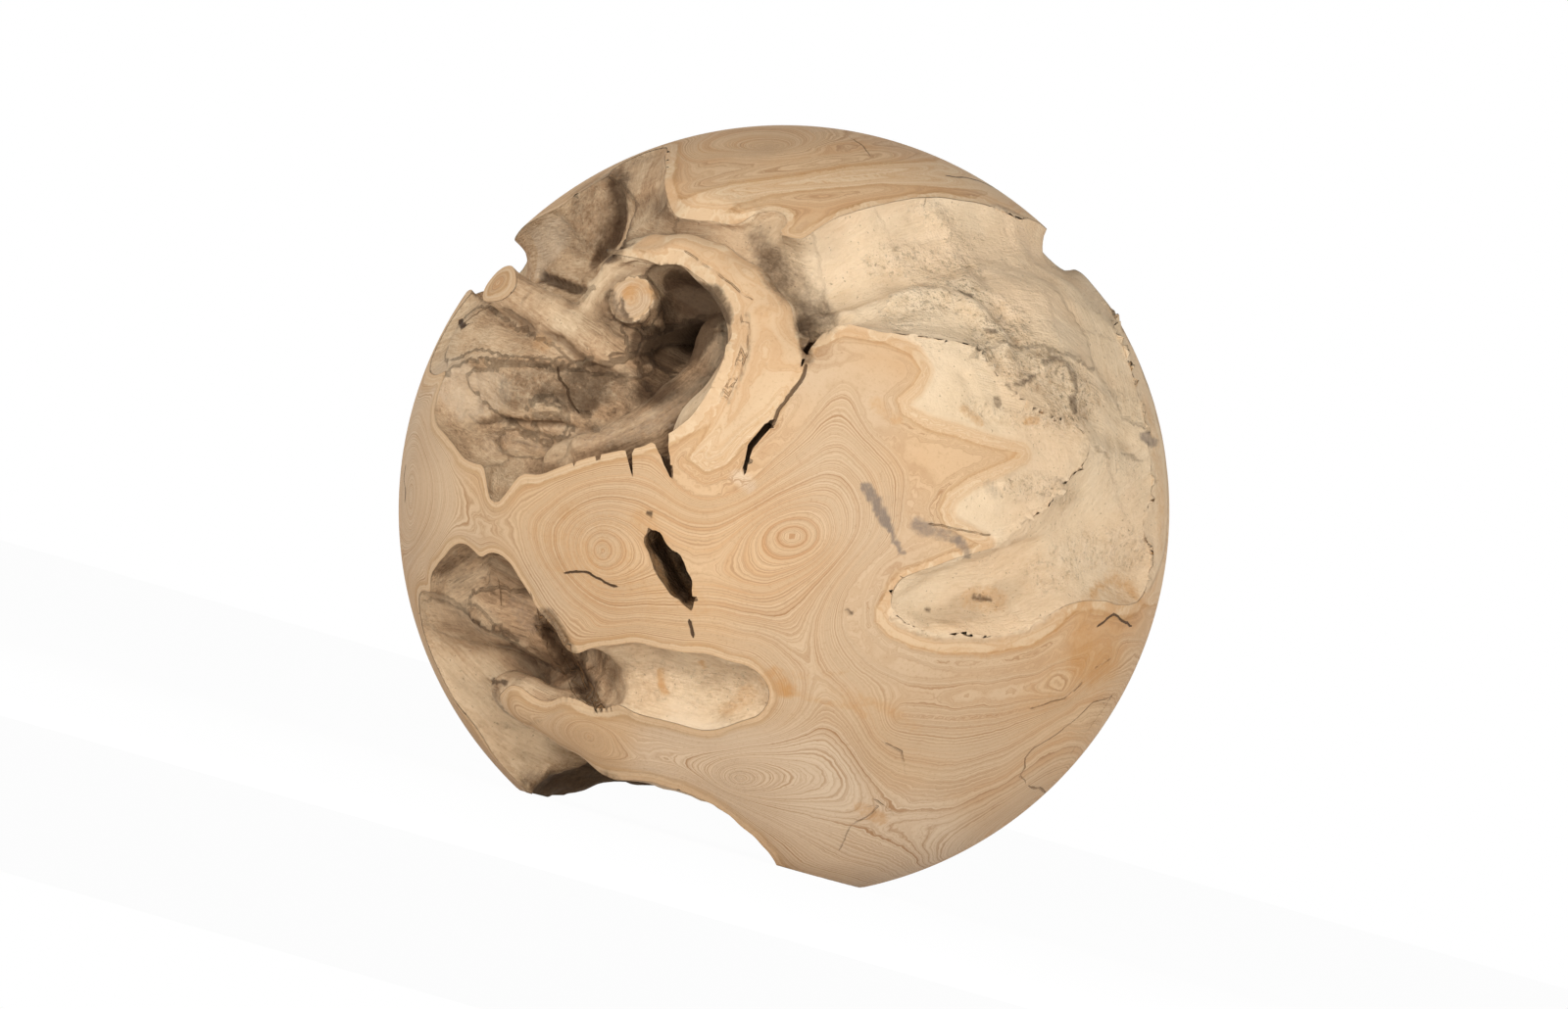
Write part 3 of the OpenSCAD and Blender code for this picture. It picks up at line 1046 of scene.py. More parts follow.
    def carve(self) -> Shell:
        """Works out the whole shell.

        Returns:
            The shell, facing outwards.
        """
        lattice = self.lattice
        skin, face = self.sample()
        value = np.maximum(skin, face)
        cells = self.open_up(value)
        side = value.shape[0]
        spots = cells[:, None] + CORNERS @ strides(side)
        index = np.stack([cells // (side * side), cells // side % side, cells % side], 1)
        corner_value = value.reshape(-1)[spots]
        total = np.zeros((len(cells), 3), np.float32)
        crossings = np.zeros(len(cells), np.float32)
        for a, b in EDGES:
            va, vb = corner_value[:, a], corner_value[:, b]
            cross = (va < 0) != (vb < 0)
            share = (va / np.where(cross, va - vb, 1))[:, None]
            pa, pb = lattice.place(index + CORNERS[a]), lattice.place(index + CORNERS[b])
            total += np.where(cross[:, None], pa + (pb - pa) * share, 0)
            crossings += cross
        points = total / crossings[:, None]
        skins, faces = skin.reshape(-1)[spots], face.reshape(-1)[spots]
        ready = (skins.min(1) < 0) & (skins.max(1) > 0) & (faces.min(1) < 0) & (faces.max(1) > 0)
        points, on_face, rim = self.settle(points, ready)
        triangles = self.split(self.quads(value, cells), points, rim)
        triangles = triangles[self.largest(points, triangles)]
        used, inverse = np.unique(triangles, return_inverse=True)
        triangles = inverse.reshape(-1, 3)
        points, on_face, rim = points[used], on_face[used], rim[used]
        count = (on_face & ~rim)[triangles].sum(1)
        plain = (~rim)[triangles].sum(1)
        face_triangles = (count == plain) & (plain > 0)
        unsure = np.flatnonzero((plain == 0) | ((count > 0) & (count < plain)))
        middle = points[triangles[unsure]].mean(1)
        face_triangles[unsure] = self.wood.face(middle) >= self.wood.skin(middle)
        return Shell(points, triangles, on_face, rim, face_triangles)


# ---- Growth rings, fibres, stain marks and painted shade ----

# Radius of the ball in the drawing's units, and a distance that no sapwood reaches.
DRAWN_R = 394.0
FAR_OFF = 1e3


def seen(x: float, z: float) -> Array:
    """Heading of a place on the front, drawn as seen from the front with the ball's radius at DRAWN_R.

    Args:
        x: To the right of the ball's centre.
        z: Above the ball's centre.

    Returns:
        Unit vector from the ball's centre.
    """
    a, b = x / DRAWN_R, z / DRAWN_R
    return np.array([a, -np.sqrt(max(1 - a * a - b * b, 0.0)), b])


@dataclass(frozen=True)
class Pith:
    """Middle of a set of growth rings where it meets the ball's face, and how its rings stretch."""

    toward: Array
    across: float = 1.0
    upward: float = 1.0
    offset: float = 0.0

    def distance(self, points: Array, radius: float) -> Array:
        """Distance over the face, with the stretch taken out of it.

        The gap between the two headings is split into its parts across and upwards, and each is
        divided by its stretch.

        Args:
            points: One row each.
            radius: The ball's radius.

        Returns:
            One distance a point.
        """
        side = np.cross(self.toward, [0, 0, 1.0])
        side = -side / (np.linalg.norm(side) + 1e-9)
        up = np.cross(side, self.toward)
        up = up * np.sign(up[2] + 1e-9)
        gap = points / (length(points)[:, None] + 1e-6) - self.toward
        a = gap @ side * (radius / self.across)
        b = gap @ up * (radius / self.upward)
        c = gap @ self.toward * radius
        return np.sqrt(a * a + b * b + c * c) + self.offset


class StainAndShade(Enum):
    """What a mark leaves on the wood: one of four colours, or a crumbly crust. The dark one is partly stain
    and partly painted shadow, the pale one partly painted light.
    """

    ORANGE = 0
    GREY = 1
    # dark marks: dark stain and specks, and painted shadow in the pit, beside the arch and under the stub and
    # the finger
    DARK = 2
    # pale marks: faded wood, and painted light on the lower part of the ball
    PALE = 3
    CRUST = 4


@dataclass(frozen=True)
class Mark:
    """A soft stroke of colour, drawn on the front, mostly stain and some of it painted shadow and painted
    light: its path, half width, softness and strength.
    """

    path: Rows
    half: float
    soft: float
    strength: float = 1.0


@dataclass(frozen=True)
class Line:
    """A thin crack or a thin dark line in the wood, drawn on the front."""

    path: Rows
    half: float = 0.5
    tone: float = 1.0


def along(points: Array, path: Array) -> tuple[Array, Array, Array]:
    """Nearest place on a path.

    Args:
        points: One row each, two columns.
        path: Corners of the path, two columns.

    Returns:
        Distance, distance with a sign for the side, and how far past the path's ends.
    """
    best = np.full(len(points), FURTHEST)
    side = np.zeros(len(points))
    past = np.zeros(len(points))
    for n in range(len(path) - 1):
        a, edge = path[n], path[n + 1] - path[n]
        span = np.linalg.norm(edge) + 1e-9
        offset = points - a
        t = offset @ (edge / span)
        lateral = offset[:, 0] * edge[1] / span - offset[:, 1] * edge[0] / span
        over = np.maximum(np.maximum(-t, t - span), 0)
        gap = np.hypot(lateral, over)
        nearer = gap < best
        best = np.where(nearer, gap, best)
        side = np.where(nearer, lateral, side)
        past = np.where(nearer, over, past)
    return best, side, past


def softly_along(points: Array, path: Array, blend: float) -> Array:
    """Distance to a path with its creases rounded.

    It is minus blend times the log of a sum, over the path's edges, of e to the power of minus
    the edge's distance over blend.

    Args:
        points: One row each, two columns.
        path: Corners of the path, two columns.
        blend: Width over which edges share a point.

    Returns:
        Distances.
    """
    total = np.full(len(points), 1e-30)
    for n in range(len(path) - 1):
        total += np.exp(-along(points, path[n : n + 2])[0] / blend)
    return -blend * np.log(total)


@dataclass(frozen=True)
class Stroke:
    """A ridge in the roots' skin, drawn on the front. One with a rise below 0 is a groove."""

    path: Rows
    half: float
    rise: float


@dataclass(frozen=True)
class Rounding:
    """A root whose sanded face is rounded over towards its bark, drawn on the front by its axis."""

    path: Rows
    half: float
    soft: float
    reach: float = 16.0
    drop: float = 6.0


@dataclass(frozen=True)
class Sapwood:
    """A stretch of the ground face that is sapwood, drawn on the front by its outline."""

    outline: Rows
    lumpy: bool = False

    def distance(self, view: Array) -> Array:
        """Distance from the outline, negative inside it.

        A place is inside when a level ray from it crosses the outline an odd number of times.

        Args:
            view: Points as seen from the front.

        Returns:
            Distances in the drawing's units.
        """
        corners = np.array(self.outline + self.outline[:1], float)
        gap = along(view, corners)[0]
        inside = np.zeros(len(view), bool)
        for (ax, az), (bx, bz) in zip(corners[:-1], corners[1:]):
            if az != bz:
                spans = (az > view[:, 1]) != (bz > view[:, 1])
                inside ^= spans & (view[:, 0] < (bx - ax) * (view[:, 1] - az) / (bz - az) + ax)
        return np.where(inside, -gap, gap)


@dataclass
class Figure:
    """The wood's figure: what each point of the surface needs to know for its colour."""

    wood: Wood
    rings: float = 54.0
    pith_blend: float = 64.0
    bark_blend: float = 26.0
    piths: tuple[Pith, ...] = ()
    sheets: tuple[Rows, ...] = ()
    marks: dict[StainAndShade, tuple[Mark, ...]] = field(default_factory=dict)
    lines: tuple[Line, ...] = ()
    sapwood: tuple[Sapwood, ...] = ()
    strokes: tuple[Stroke, ...] = ()
    roundings: tuple[Rounding, ...] = ()
    unsteady: float = 0.9
    unsteady_size: float = 13.0
    outline_blend: float = 22.0
    outer_share: float = 0.85
    outer_band: float = 0.1
    behind: float = 2.0
    crust_size: float = 8.0
    root_soft: float = 8.0
    line_end: float = 2.5
    line_reach: float = 7.0
    line_fade: float = 3.0
    skin_margin: float = 20.0
    skin_reach: float = 5.0
    crack_reach: float = 3.0
    fibre_swap: float = 4.0
    streak_reach: float = 9.0
    streak_fade: float = 4.0
    crack_weight: float = 3.0
    true_rings: float = 4.0
    round_rings: float = 14.0
    true_sap: float = 4.0
    round_sap: float = 20.0
    sap_blend: float = 10.0
    sap_lead: float = 2.0
    sap_ring_blend: float = 14.0
    sheet_blend: float = 18.0
    plain_skin: tuple[float, float, float] = (0.35, 0.8, 1.0)
    under_skin: tuple[float, float, float] = (0.66, 1.0, 1.4)
    crack_skin: tuple[float, float, float] = (0.6, 0.5, 1.0)
    knob_skin: tuple[float, float, float] = (0.42, 0.4, 0.3)

    @property
    def unit(self) -> float:
        """Millimetres to one unit of the drawing."""
        return self.wood.clump.ball_r / DRAWN_R

    def front(self, points: Array, unsteady: float = 0.0) -> Array:
        """Points as seen from the front, in the drawing's units, moved a little by lumps.

        Those on the face behind the ball's middle lie outside its outline, by twice how far back
        they are, so that what is drawn up to the outline ends behind it.

        Args:
            points: One row each.
            unsteady: How far lumps move them.

        Returns:
            Across and up, one row each.
        """
        ball_r = self.wood.clump.ball_r
        flat = points[:, [0, 2]]
        outer = np.clip((length(points) / ball_r - self.outer_share) / self.outer_band, 0, 1)
        past = 1 + self.behind * outer * np.maximum(points[:, 1], 0) / np.maximum(length(flat), 1)
        view = flat * (DRAWN_R / ball_r) * past[:, None]
        if unsteady:
            shift = np.stack([lumps(points, self.unsteady_size, seed) for seed in (21, 22)], 1)
            view = view + shift * unsteady * 2
        return view

    def relief(self, points: Array) -> Array:
        """How far the drawn ridges stand out, less the depths of the grooves, in millimetres.

        Each adds its rise times the square of 1 - (gap / half width) squared, and lumps break it up.

        Args:
            points: One row each.

        Returns:
            One height a point.
        """
        view = self.front(points, self.unsteady)
        total = np.zeros(len(points))
        for stroke in self.strokes:
            gap = along(view, np.array(stroke.path, float))[0] / stroke.half
            total += stroke.rise * np.clip(1 - gap * gap, 0, 1) ** 2
        return total * (0.85 + 0.75 * lumps(points, self.crust_size, 23))

    def rounding(self, points: Array, bark: Array, depth: Array) -> Array:
        """How far the rounded faces drop, in millimetres.

        It is the full drop at the bark, falls with the square of the way to its reach, and fades
        out down the skin over twice the drop.

        Args:
            points: One row each.
            bark: Distance to the bark.
            depth: Depth below the ball's face.

        Returns:
            Drops towards the ball's centre.
        """
        view = self.front(points)
        total = np.zeros(len(points))
        for root in self.roundings:
            gap = along(view, np.array(root.path, float))[0]
            share = eased((root.half + root.soft - gap) / root.soft)
            edge = 1 - np.clip(bark / root.reach, 0, 1)
            fade = np.clip(1 - depth / (2 * root.drop), 0, 1)
            total = np.maximum(total, root.drop * edge * edge * share * fade)
        return total

    def sap_edge(self, points: Array, lumpy_only: bool = False) -> Array:
        """Distance from the nearest outline of sapwood in millimetres, negative inside it.

        Args:
            points: One row each.
            lumpy_only: Leaves out the smooth patches.

        Returns:
            One distance a point.
        """
        view = self.front(points)
        total = np.full(len(points), FAR_OFF)
        for patch in self.sapwood:
            if patch.lumpy or not lumpy_only:
                total = np.minimum(total, patch.distance(view) * self.unit)
        return total

    def sap_gap(self, points: Array) -> Array:
        """Distance from the sapwood's outlines for the rings: true near them, rounded further off.

        Args:
            points: One row each.

        Returns:
            Distances, 0 or more.
        """
        view = self.front(points)
        total = np.full(len(points), FAR_OFF)
        for patch in self.sapwood:
            corners = np.array(patch.outline + patch.outline[:1], float)
            near = along(view, corners)[0]
            far = softly_along(view, corners, self.outline_blend)
            share = eased((near - self.true_sap) / self.round_sap)
            total = smooth_min(total, (near + (far - near) * share) * self.unit, self.sap_blend)
        return np.maximum(total, 0)

    @staticmethod
    def joined(strands: list[Strand], points: Array, blend: float) -> Array:
        """Distance from all of some strands, with wide fillets between them.

        Args:
            strands: The hollows or roots.
            points: One row each.
            blend: Width of the fillets.

        Returns:
            Distances, negative inside.
        """
        total = strands[0].chain.distance(points)
        for strand in strands[1:]:
            total = smooth_min(total, strand.chain.distance(points), blend)
        return total

    def soft_bark(self, points: Array) -> Array:
        """Distance to the bark with every crease in it rounded, for rings far from it.

        Args:
            points: One row each.

        Returns:
            Distances, negative in the wood.
        """
        wood, soft = self.wood, self.root_soft
        hollow = self.joined(wood.hollow_strands, points, self.bark_blend)
        hollow = smooth_min(hollow, wood.under(points), self.bark_blend)
        return smooth_min(-hollow, self.joined(wood.root_strands, points, soft), soft)

    def ring_number(self, points: Array, bark: Array) -> Array:
        """Which ring a point lies in.

        With D the distance to the bark and A the smooth least distance to a pith, it is the number
        of rings times D / (D + A): 0 at the bark and whole at a pith.

        Args:
            points: One row each.
            bark: Distance to the bark.

        Returns:
            Ring numbers.
        """
        radius = self.wood.clump.ball_r
        heart = self.piths[0].distance(points, radius)
        for pith in self.piths[1:]:
            heart = smooth_min(heart, pith.distance(points, radius), self.pith_blend)
        soft = -self.soft_bark(points)
        share = np.clip((bark - self.true_rings) / self.round_rings, 0, 1)
        depth = bark + (soft - bark) * share * share * (3 - 2 * share)
        depth = smooth_min(depth, self.sap_gap(points) + self.sap_lead, self.sap_ring_blend)
        view = self.front(points)
        for sheet in self.sheets:
            gap = along(view, np.array(sheet, float))[0] * self.unit + np.maximum(points[:, 1], 0)
            depth = smooth_min(depth, gap, self.sheet_blend)
        depth = np.maximum(depth, 0.0)
        return self.rings * depth / (depth + np.maximum(heart, 0) + 1e-3)

    def stains_and_shade(self, points: Array) -> Array:
        """Strength of each kind of mark, stain and painted shadow and light alike: 1 inside a mark's half
        width, fading to 0 over its softness.

        Args:
            points: One row each.

        Returns:
            One column a stain.
        """
        total = np.zeros((len(points), len(StainAndShade)), np.float32)
        view = self.front(points, self.unsteady)
        for stain, marks in self.marks.items():
            for mark in marks:
                gap = along(view, np.array(mark.path, float))[0]
                share = eased((mark.half + mark.soft - gap) / mark.soft) * mark.strength
                column = total[:, stain.value]
                total[:, stain.value] = column + share - column * share
        return total

    def thin_lines(self, points: Array) -> Array:
        """The nearest thin line: side distance and half width in millimetres, reach and tone.

        The side distance is divided by how far the face leans across the line, as the square root
        of 1 - (its heading along the line's side) squared, so that a line keeps its width.

        Args:
            points: One row each.

        Returns:
            Those four, in columns.
        """
        view, unit = self.front(points, self.unsteady), self.unit
        ball = points / (length(points)[:, None] + 1e-9)
        best = np.full(len(points), FURTHEST)
        found = np.zeros((len(points), 4), np.float32)
        for line in self.lines:
            path = np.array(line.path, float)
            gap, side, past = along(view, path)
            edge = (path[-1] - path[0]) / np.linalg.norm(path[-1] - path[0])
            lean = np.sqrt(np.clip(1 - (ball[:, 0] * edge[1] - ball[:, 2] * edge[0]) ** 2, 0.06, 1))
            gap, side, past = gap * unit / lean, side * unit / lean, past * unit
            end = np.clip(1 - past / self.line_end, 0, 1)
            reach = end * np.clip((self.line_reach - gap) / self.line_fade, 0, 1)
            own = np.broadcast_to([line.half, line.tone], (len(side), 2))
            here = np.concatenate([np.stack([side, reach], 1), own], 1)
            nearer = gap < best
            best = np.where(nearer, gap, best)
            found = np.where(nearer[:, None], here, found).astype(np.float32)
        return found

    def skin_looks(self, points: Array) -> dict[str, Array]:
        """Tone, furrows, lumps and fibre coordinates, shared out between the strands near a point.

        A strand whose surface passes through a point counts most: its weight falls with e to the
        power of minus its distance over 5 mm.

        Args:
            points: One row each.

        Returns:
            Values by name.
        """
        faint, far = 1e-4, 60
        weight_sum = np.full(len(points), faint, np.float32)
        looks = np.zeros((len(points), 3), np.float32)
        looks += np.array(self.plain_skin, np.float32) * faint
        best = {key: np.full(len(points), far, np.float32) for key in (False, True)}
        fibre = {key: points.copy() for key in (False, True)}
        for strand in self.wood.hollow_strands + self.wood.root_strands:
            chain, skin = strand.chain, strand.skin
            low, high = chain.box(self.skin_margin)
            near = np.flatnonzero(((points > low) & (points < high)).all(1))
            gap = np.abs(chain.distance(points[near]))
            weight = np.exp(-gap / self.skin_reach)
            weight_sum[near] += weight
            looks[near] += weight[:, None] * np.array([skin.tone, skin.furrows, skin.lumps], np.float32)
            own = best[skin.second_set]
            closer = gap < own[near]
            own[near[closer]] = gap[closer]
            fibre[skin.second_set][near[closer]] = chain.grain(points[near[closer]])
        others = [(self.wood.under(points), 1, self.skin_reach, self.under_skin)]
        near = [(cut.distance(points), self.crack_skin) for cut in self.wood.cuts]
        near += [(self.wood.knob(points), self.knob_skin)]
        others += [(gap, self.crack_weight, self.crack_reach, skin) for gap, skin in near]
        for gap, strength, reach, skin in others:
            weight = strength * np.exp(-np.abs(gap) / reach)
            weight_sum += weight
            looks += weight[:, None] * np.array(skin, np.float32)
        looks /= weight_sum[:, None]
        swap = np.clip((best[False] - best[True]) / self.fibre_swap, -20, 20)
        nearest = np.minimum(best[False], best[True])
        return {
            "tone": looks[:, 0],
            "furrows": looks[:, 1],
            "lumps": looks[:, 2],
            "fibre_a": fibre[False],
            "fibre_b": fibre[True],
            "fibre_mix": 1 / (1 + np.exp(-swap)),
            "streaks": np.clip((self.streak_reach - nearest) / self.streak_fade, 0, 1),
        }


# ---- The ball as a piece ----


def add_object(name: str, data: bpy.types.ID) -> bpy.types.Object:
    """Adds an object to the scene.

    Args:
        name: The object's name.
        data: Its mesh, lamp or camera.

    Returns:
        The object.
    """
    item = bpy.data.objects.new(name, data)
    bpy.context.scene.collection.objects.link(item)
    return item


@dataclass
class Spots:
    """What holds at each point of the shell before it is carved.

    Depth is below the ball's face, and bark is the way to the bark. Out is the way from the middle
    of the knob's sawn face, and sawn the way off that face. Lumpy goes from 0 to 1 into the lumpy
    sapwood.
    """

    points: Array
    on_skin: Array
    looks: dict[str, Array]
    furrow: Array
    fold: Array
    depth: Array
    bark: Array
    out: Array
    sawn: Array
    relief: Array
    lumpy: Array


@dataclass
class RootBall:
    """The wooden ball: its mesh, and the values that its finish reads from it."""

    wood: Wood
    figure: Figure
    lattice: Lattice = field(default_factory=Lattice)
    fibre_stretch: float = 0.08
    furrow_size: float = 5.5
    furrow_depth: float = 0.8
    fold_size: float = 13.0
    fold_depth: float = 1.1
    crevice_reach: float = 5.0
    dell_reach: float = 16.0
    swell_size: float = 34.0
    swell_depth: float = 2.2
    bump_size: float = 15.0
    bump_depth: float = 1.3
    bump_round: float = 0.04
    pit_size: float = 7.0
    pit_depth: float = 0.45
    skin_fade: float = 4.0
    sap_depth: float = 4.2
    lumpy_inset: float = 3.0
    lumpy_band: float = 9.0
    lumpy_depth: float = 1.2
    lumpy_share: float = 0.5
    lumpy_relief: float = 0.6
    lumpy_skin: float = 0.6
    plain_from: float = 1.0
    plain_band: float = 6.0
    lumpy_back: float = 50.0
    lumpy_slope: float = 0.7
    sawn_margin: float = 2.0
    sawn_half: float = 0.4
    unseen: float = 0.02
    groove_span: float = 5.0
    groove_from: float = 0.1
    groove_dark: float = 0.6
    front_band: float = 6.0
    sap_core: float = 2.5
    knob_rings: float = 0.6
    knob_bark: float = 2.0

    def corner_normals(self, shell: Shell, points: Array) -> tuple[Array, Array]:
        """Normals for each triangle's corners, and for each point.

        On the turned face they point away from the ball's centre. On the skin a corner's normal is
        the sum of the skin triangles round it, each weighted by its area.

        Args:
            shell: The triangles.
            points: The final points.

        Returns:
            One normal per corner, and one per point for moving it.
        """
        corner = points[shell.triangles]
        facet = np.cross(corner[:, 1] - corner[:, 0], corner[:, 2] - corner[:, 0])
        total = np.zeros_like(points)
        for axis in range(3):
            weight = np.where(shell.face_triangles, 0, facet[:, axis])
            total[:, axis] = np.bincount(shell.triangles.reshape(-1), weight.repeat(3), len(points))
        empty = length(total) < 1e-9
        total[empty] = points[empty]
        total /= length(total)[:, None] + 1e-12
        ball = points / (length(points)[:, None] + 1e-9)
        clump = self.wood.clump
        flat = points @ clump.down > clump.centre_height - 0.03
        foot = shell.face_triangles & flat[shell.triangles].all(1)
        corners = np.where(shell.face_triangles[:, None, None], ball[shell.triangles], total[shell.triangles])
        corners[foot] = clump.down
        return corners.astype(np.float32), np.where(shell.on_face[:, None], ball, total).astype(np.float32)

    def furrow(self, fibre: Array) -> Array:
        """Furrows along the fibres, from 0 to 1: lumps of the stretched fibre coordinates.

        Args:
            fibre: Stretched fibre coordinates.

        Returns:
            One value a point.
        """
        wide = lumps(fibre, self.furrow_size, 11)
        narrow = lumps(fibre, self.furrow_size * 0.45, 12)
        return 0.5 + 0.36 * wide + 0.2 * narrow

    def fold(self, fibre: Array) -> Array:
        """Long folds along the fibres in millimetres: wide waves, and sharp creases between them.

        Args:
            fibre: Stretched fibre coordinates.

        Returns:
            One height a point.
        """
        wave = lumps(fibre, self.fold_size, 16)
        crease = np.clip(1 - np.abs(lumps(fibre, self.fold_size * 0.8, 17)) / 0.3, 0, 1)
        return self.fold_depth * (wave + crease * crease)

    def spots(self, shell: Shell) -> Spots:
        """Works out what holds at each point of the shell.

        Args:
            shell: The shell, before it is carved.

        Returns:
            One value a point for each.
        """
        points = shell.points
        looks = self.figure.skin_looks(points)
        for name in ("fibre_a", "fibre_b"):
            looks[name] = looks[name] * np.array([self.fibre_stretch, 1, 1], np.float32)
        first, second, mix = looks["fibre_a"], looks["fibre_b"], looks["fibre_mix"]
        height, out = self.wood.knob_cut(points)
        inset = -self.figure.sap_edge(points, lumpy_only=True) - self.lumpy_inset
        behind = np.maximum(points[:, 1] + self.lumpy_back, 0)
        return Spots(
            points=points,
            on_skin=~shell.on_face & ~shell.on_rim,
            looks=looks,
            furrow=self.furrow(first) * (1 - mix) + self.furrow(second) * mix,
            fold=self.fold(first) * (1 - mix) + self.fold(second) * mix,
            depth=-self.wood.face(points),
            bark=-self.wood.bark(points),
            out=out,
            sawn=np.maximum(np.abs(height) - self.sawn_half, out - self.wood.clump.knob_r),
            relief=self.figure.relief(points),
            lumpy=eased((inset - self.lumpy_slope * behind) / self.lumpy_band),
        )

    def carving(self, spots: Spots) -> tuple[Array, Array]:
        """How deep each point is carved, and the part of it that lowers the lumpy sapwood's face.

        The skin takes its furrows, folds, swells, bumps and pits, less the drawn relief. They fade
        out towards the ball's face and towards the knob's sawn face.

        Args:
            spots: What holds at each point.

        Returns:
            Both depths, in millimetres.
        """
        swell = lumps(spots.points, self.swell_size, 15) * self.swell_depth
        bumps = lumps(spots.points, self.bump_size, 13) ** 2 + self.bump_round
        bumps = 0.5 - np.sqrt(bumps) * self.bump_depth
        pits = lumps(spots.points, self.pit_size, 14) * self.pit_depth
        carve = (spots.furrow * self.furrow_depth + spots.fold) * spots.looks["furrows"]
        carve = carve + (swell + bumps + pits) * spots.looks["lumps"]
        share = self.lumpy_share
        shallow = self.lumpy_depth + share * swell + share * bumps + pits
        shallow = np.maximum(shallow - self.lumpy_relief * spots.relief, 0) * spots.lumpy
        fade = np.clip(spots.depth / self.skin_fade, 0, 1)
        unsawn = np.clip(spots.sawn / self.sawn_margin, 0, 1)
        lowered = shallow * (1 - fade)
        carve = (carve - spots.relief) * fade * unsawn * spots.on_skin + lowered
        return carve.astype(np.float32), lowered

    def shade(self, spots: Spots, moved: Array, normals: Array, lowered: Array) -> tuple[Array, Array]:
        """How far each point lies in a crevice, and in a dell: 0 in the open and 1 shut in.

        Each is 1 - d / reach, where d is the wood's distance that far out along the normal; the finish
        darkens the skin by both, as painted shade. The drawn grooves add to the crevices, as painted
        shade in them, and both fade out where the sapwood's face is lumpy.

        Args:
            spots: What holds at each point.
            moved: The carved points.
            normals: One normal a point.
            lowered: How far the lumpy face is lowered.

        Returns:
            The crevices, and the dells.
        """
        near = self.wood.whole(moved + normals * self.crevice_reach)
        near = near + np.where(spots.on_skin, lowered, 0)
        plain = np.clip((spots.depth - self.plain_from) / self.plain_band, 0, 1)
        plain = 1 - spots.lumpy * (1 - plain)
        crevice = (1 - near / self.crevice_reach) * plain
        crevice = np.where(self.lumpy_face(spots), 0, crevice)
        # the drawn grooves darken as crevices: painted shade in them
        groove = -spots.relief / self.groove_span - self.groove_from
        crevice = crevice + np.clip(groove, 0, self.groove_dark)
        dell = 1 - self.wood.whole(moved + normals * self.dell_reach) / self.dell_reach
        return np.clip(crevice, 0, 1) * spots.on_skin, np.clip(dell, 0, 1) * plain

    def lumpy_face(self, spots: Spots) -> Array:
        """Whether each point lies on the lumpy sapwood's face."""
        return (spots.lumpy > self.unseen) & ~spots.on_skin

    def ground(self, spots: Spots) -> dict[str, Array]:
        """What the ground wood reads: the depth below the face, the way to the bark and the ring.

        The sapwood's outlines stand in for the bark inside them. The knob's sawn face has its own
        bark at its edge, and rings round its middle.

        Args:
            spots: What holds at each point.

        Returns:
            One value a point, by attribute name.
        """
        edge = self.figure.sap_edge(spots.points)
        ring = self.figure.ring_number(spots.points, np.maximum(spots.bark, 0))
        bark = edge * np.where(edge < 0, self.sap_core, 1) + self.sap_depth
        bark = np.minimum(spots.bark, bark)
        depth = np.maximum(spots.depth, spots.lumpy * self.lumpy_skin)
        knob = spots.sawn < self.sawn_margin
        knob_bark = (self.wood.clump.knob_r - spots.out) * self.knob_bark
        return {
            "face_depth": np.minimum(depth, np.maximum(spots.sawn, 0)),
            "bark_depth": np.where(knob, knob_bark, bark),
            "ring": np.where(knob, spots.out * self.knob_rings, ring),
        }

    def build(self) -> bpy.types.Object:
        """Carves the shell, cuts the furrows into its skin and stores what the finish reads.

        Returns:
            The ball as an object.
        """
        shell = Carver(self.wood, self.lattice).carve()
        spots = self.spots(shell)
        points, looks = spots.points, spots.looks
        normals = self.corner_normals(shell, points)[1]
        carve, lowered = self.carving(spots)
        drop = self.figure.rounding(points, np.maximum(spots.bark, 0), np.maximum(spots.depth, 0))
        drop = drop.astype(np.float32)
        even = np.maximum(spots.lumpy, drop) < self.unseen
        shell.face_triangles &= even[shell.triangles].all(1)
        outward = points / length(points)[:, None]
        moved = points - normals * carve[:, None] - outward * drop[:, None]
        corners, normals = self.corner_normals(shell, moved)
        lumpy_face = self.lumpy_face(spots)
        normals = np.where(lumpy_face[:, None], outward, normals)
        crevice, dell = self.shade(spots, moved, normals, lowered)
        facing = np.clip(-self.front_band * points[:, 1] / length(points), 0, 1)
        facing = np.where(shell.on_face, facing, 1)
        stains_and_shade = self.figure.stains_and_shade(points) * facing[:, None]
        lines = self.figure.thin_lines(points)
        values = self.ground(spots)
        values |= {name: looks[name] for name in ("tone", "fibre_mix", "streaks")}
        values |= {
            "crevice": crevice,
            "dell": np.where(shell.on_face | lumpy_face, 0, dell),
            "furrow": spots.furrow,
            "pale": stains_and_shade[:, StainAndShade.PALE.value],
            "crust": stains_and_shade[:, StainAndShade.CRUST.value],
            "line_tone": lines[:, 3],
        }
        vectors = {
            "fibre_a": looks["fibre_a"],
            "fibre_b": looks["fibre_b"],
            "stains_and_shade": stains_and_shade[:, :3],
            "line": lines[:, :3],
        }
        return self.piece(shell, moved, corners, values, vectors)

    def stand(self, rows: Array) -> Array:
        """Turns rows from the ball's own frame into the one in which it stands: level, back, up."""
        clump = self.wood.clump
        return np.stack([rows @ clump.level, rows[:, 1], -(rows @ clump.down)], 1)

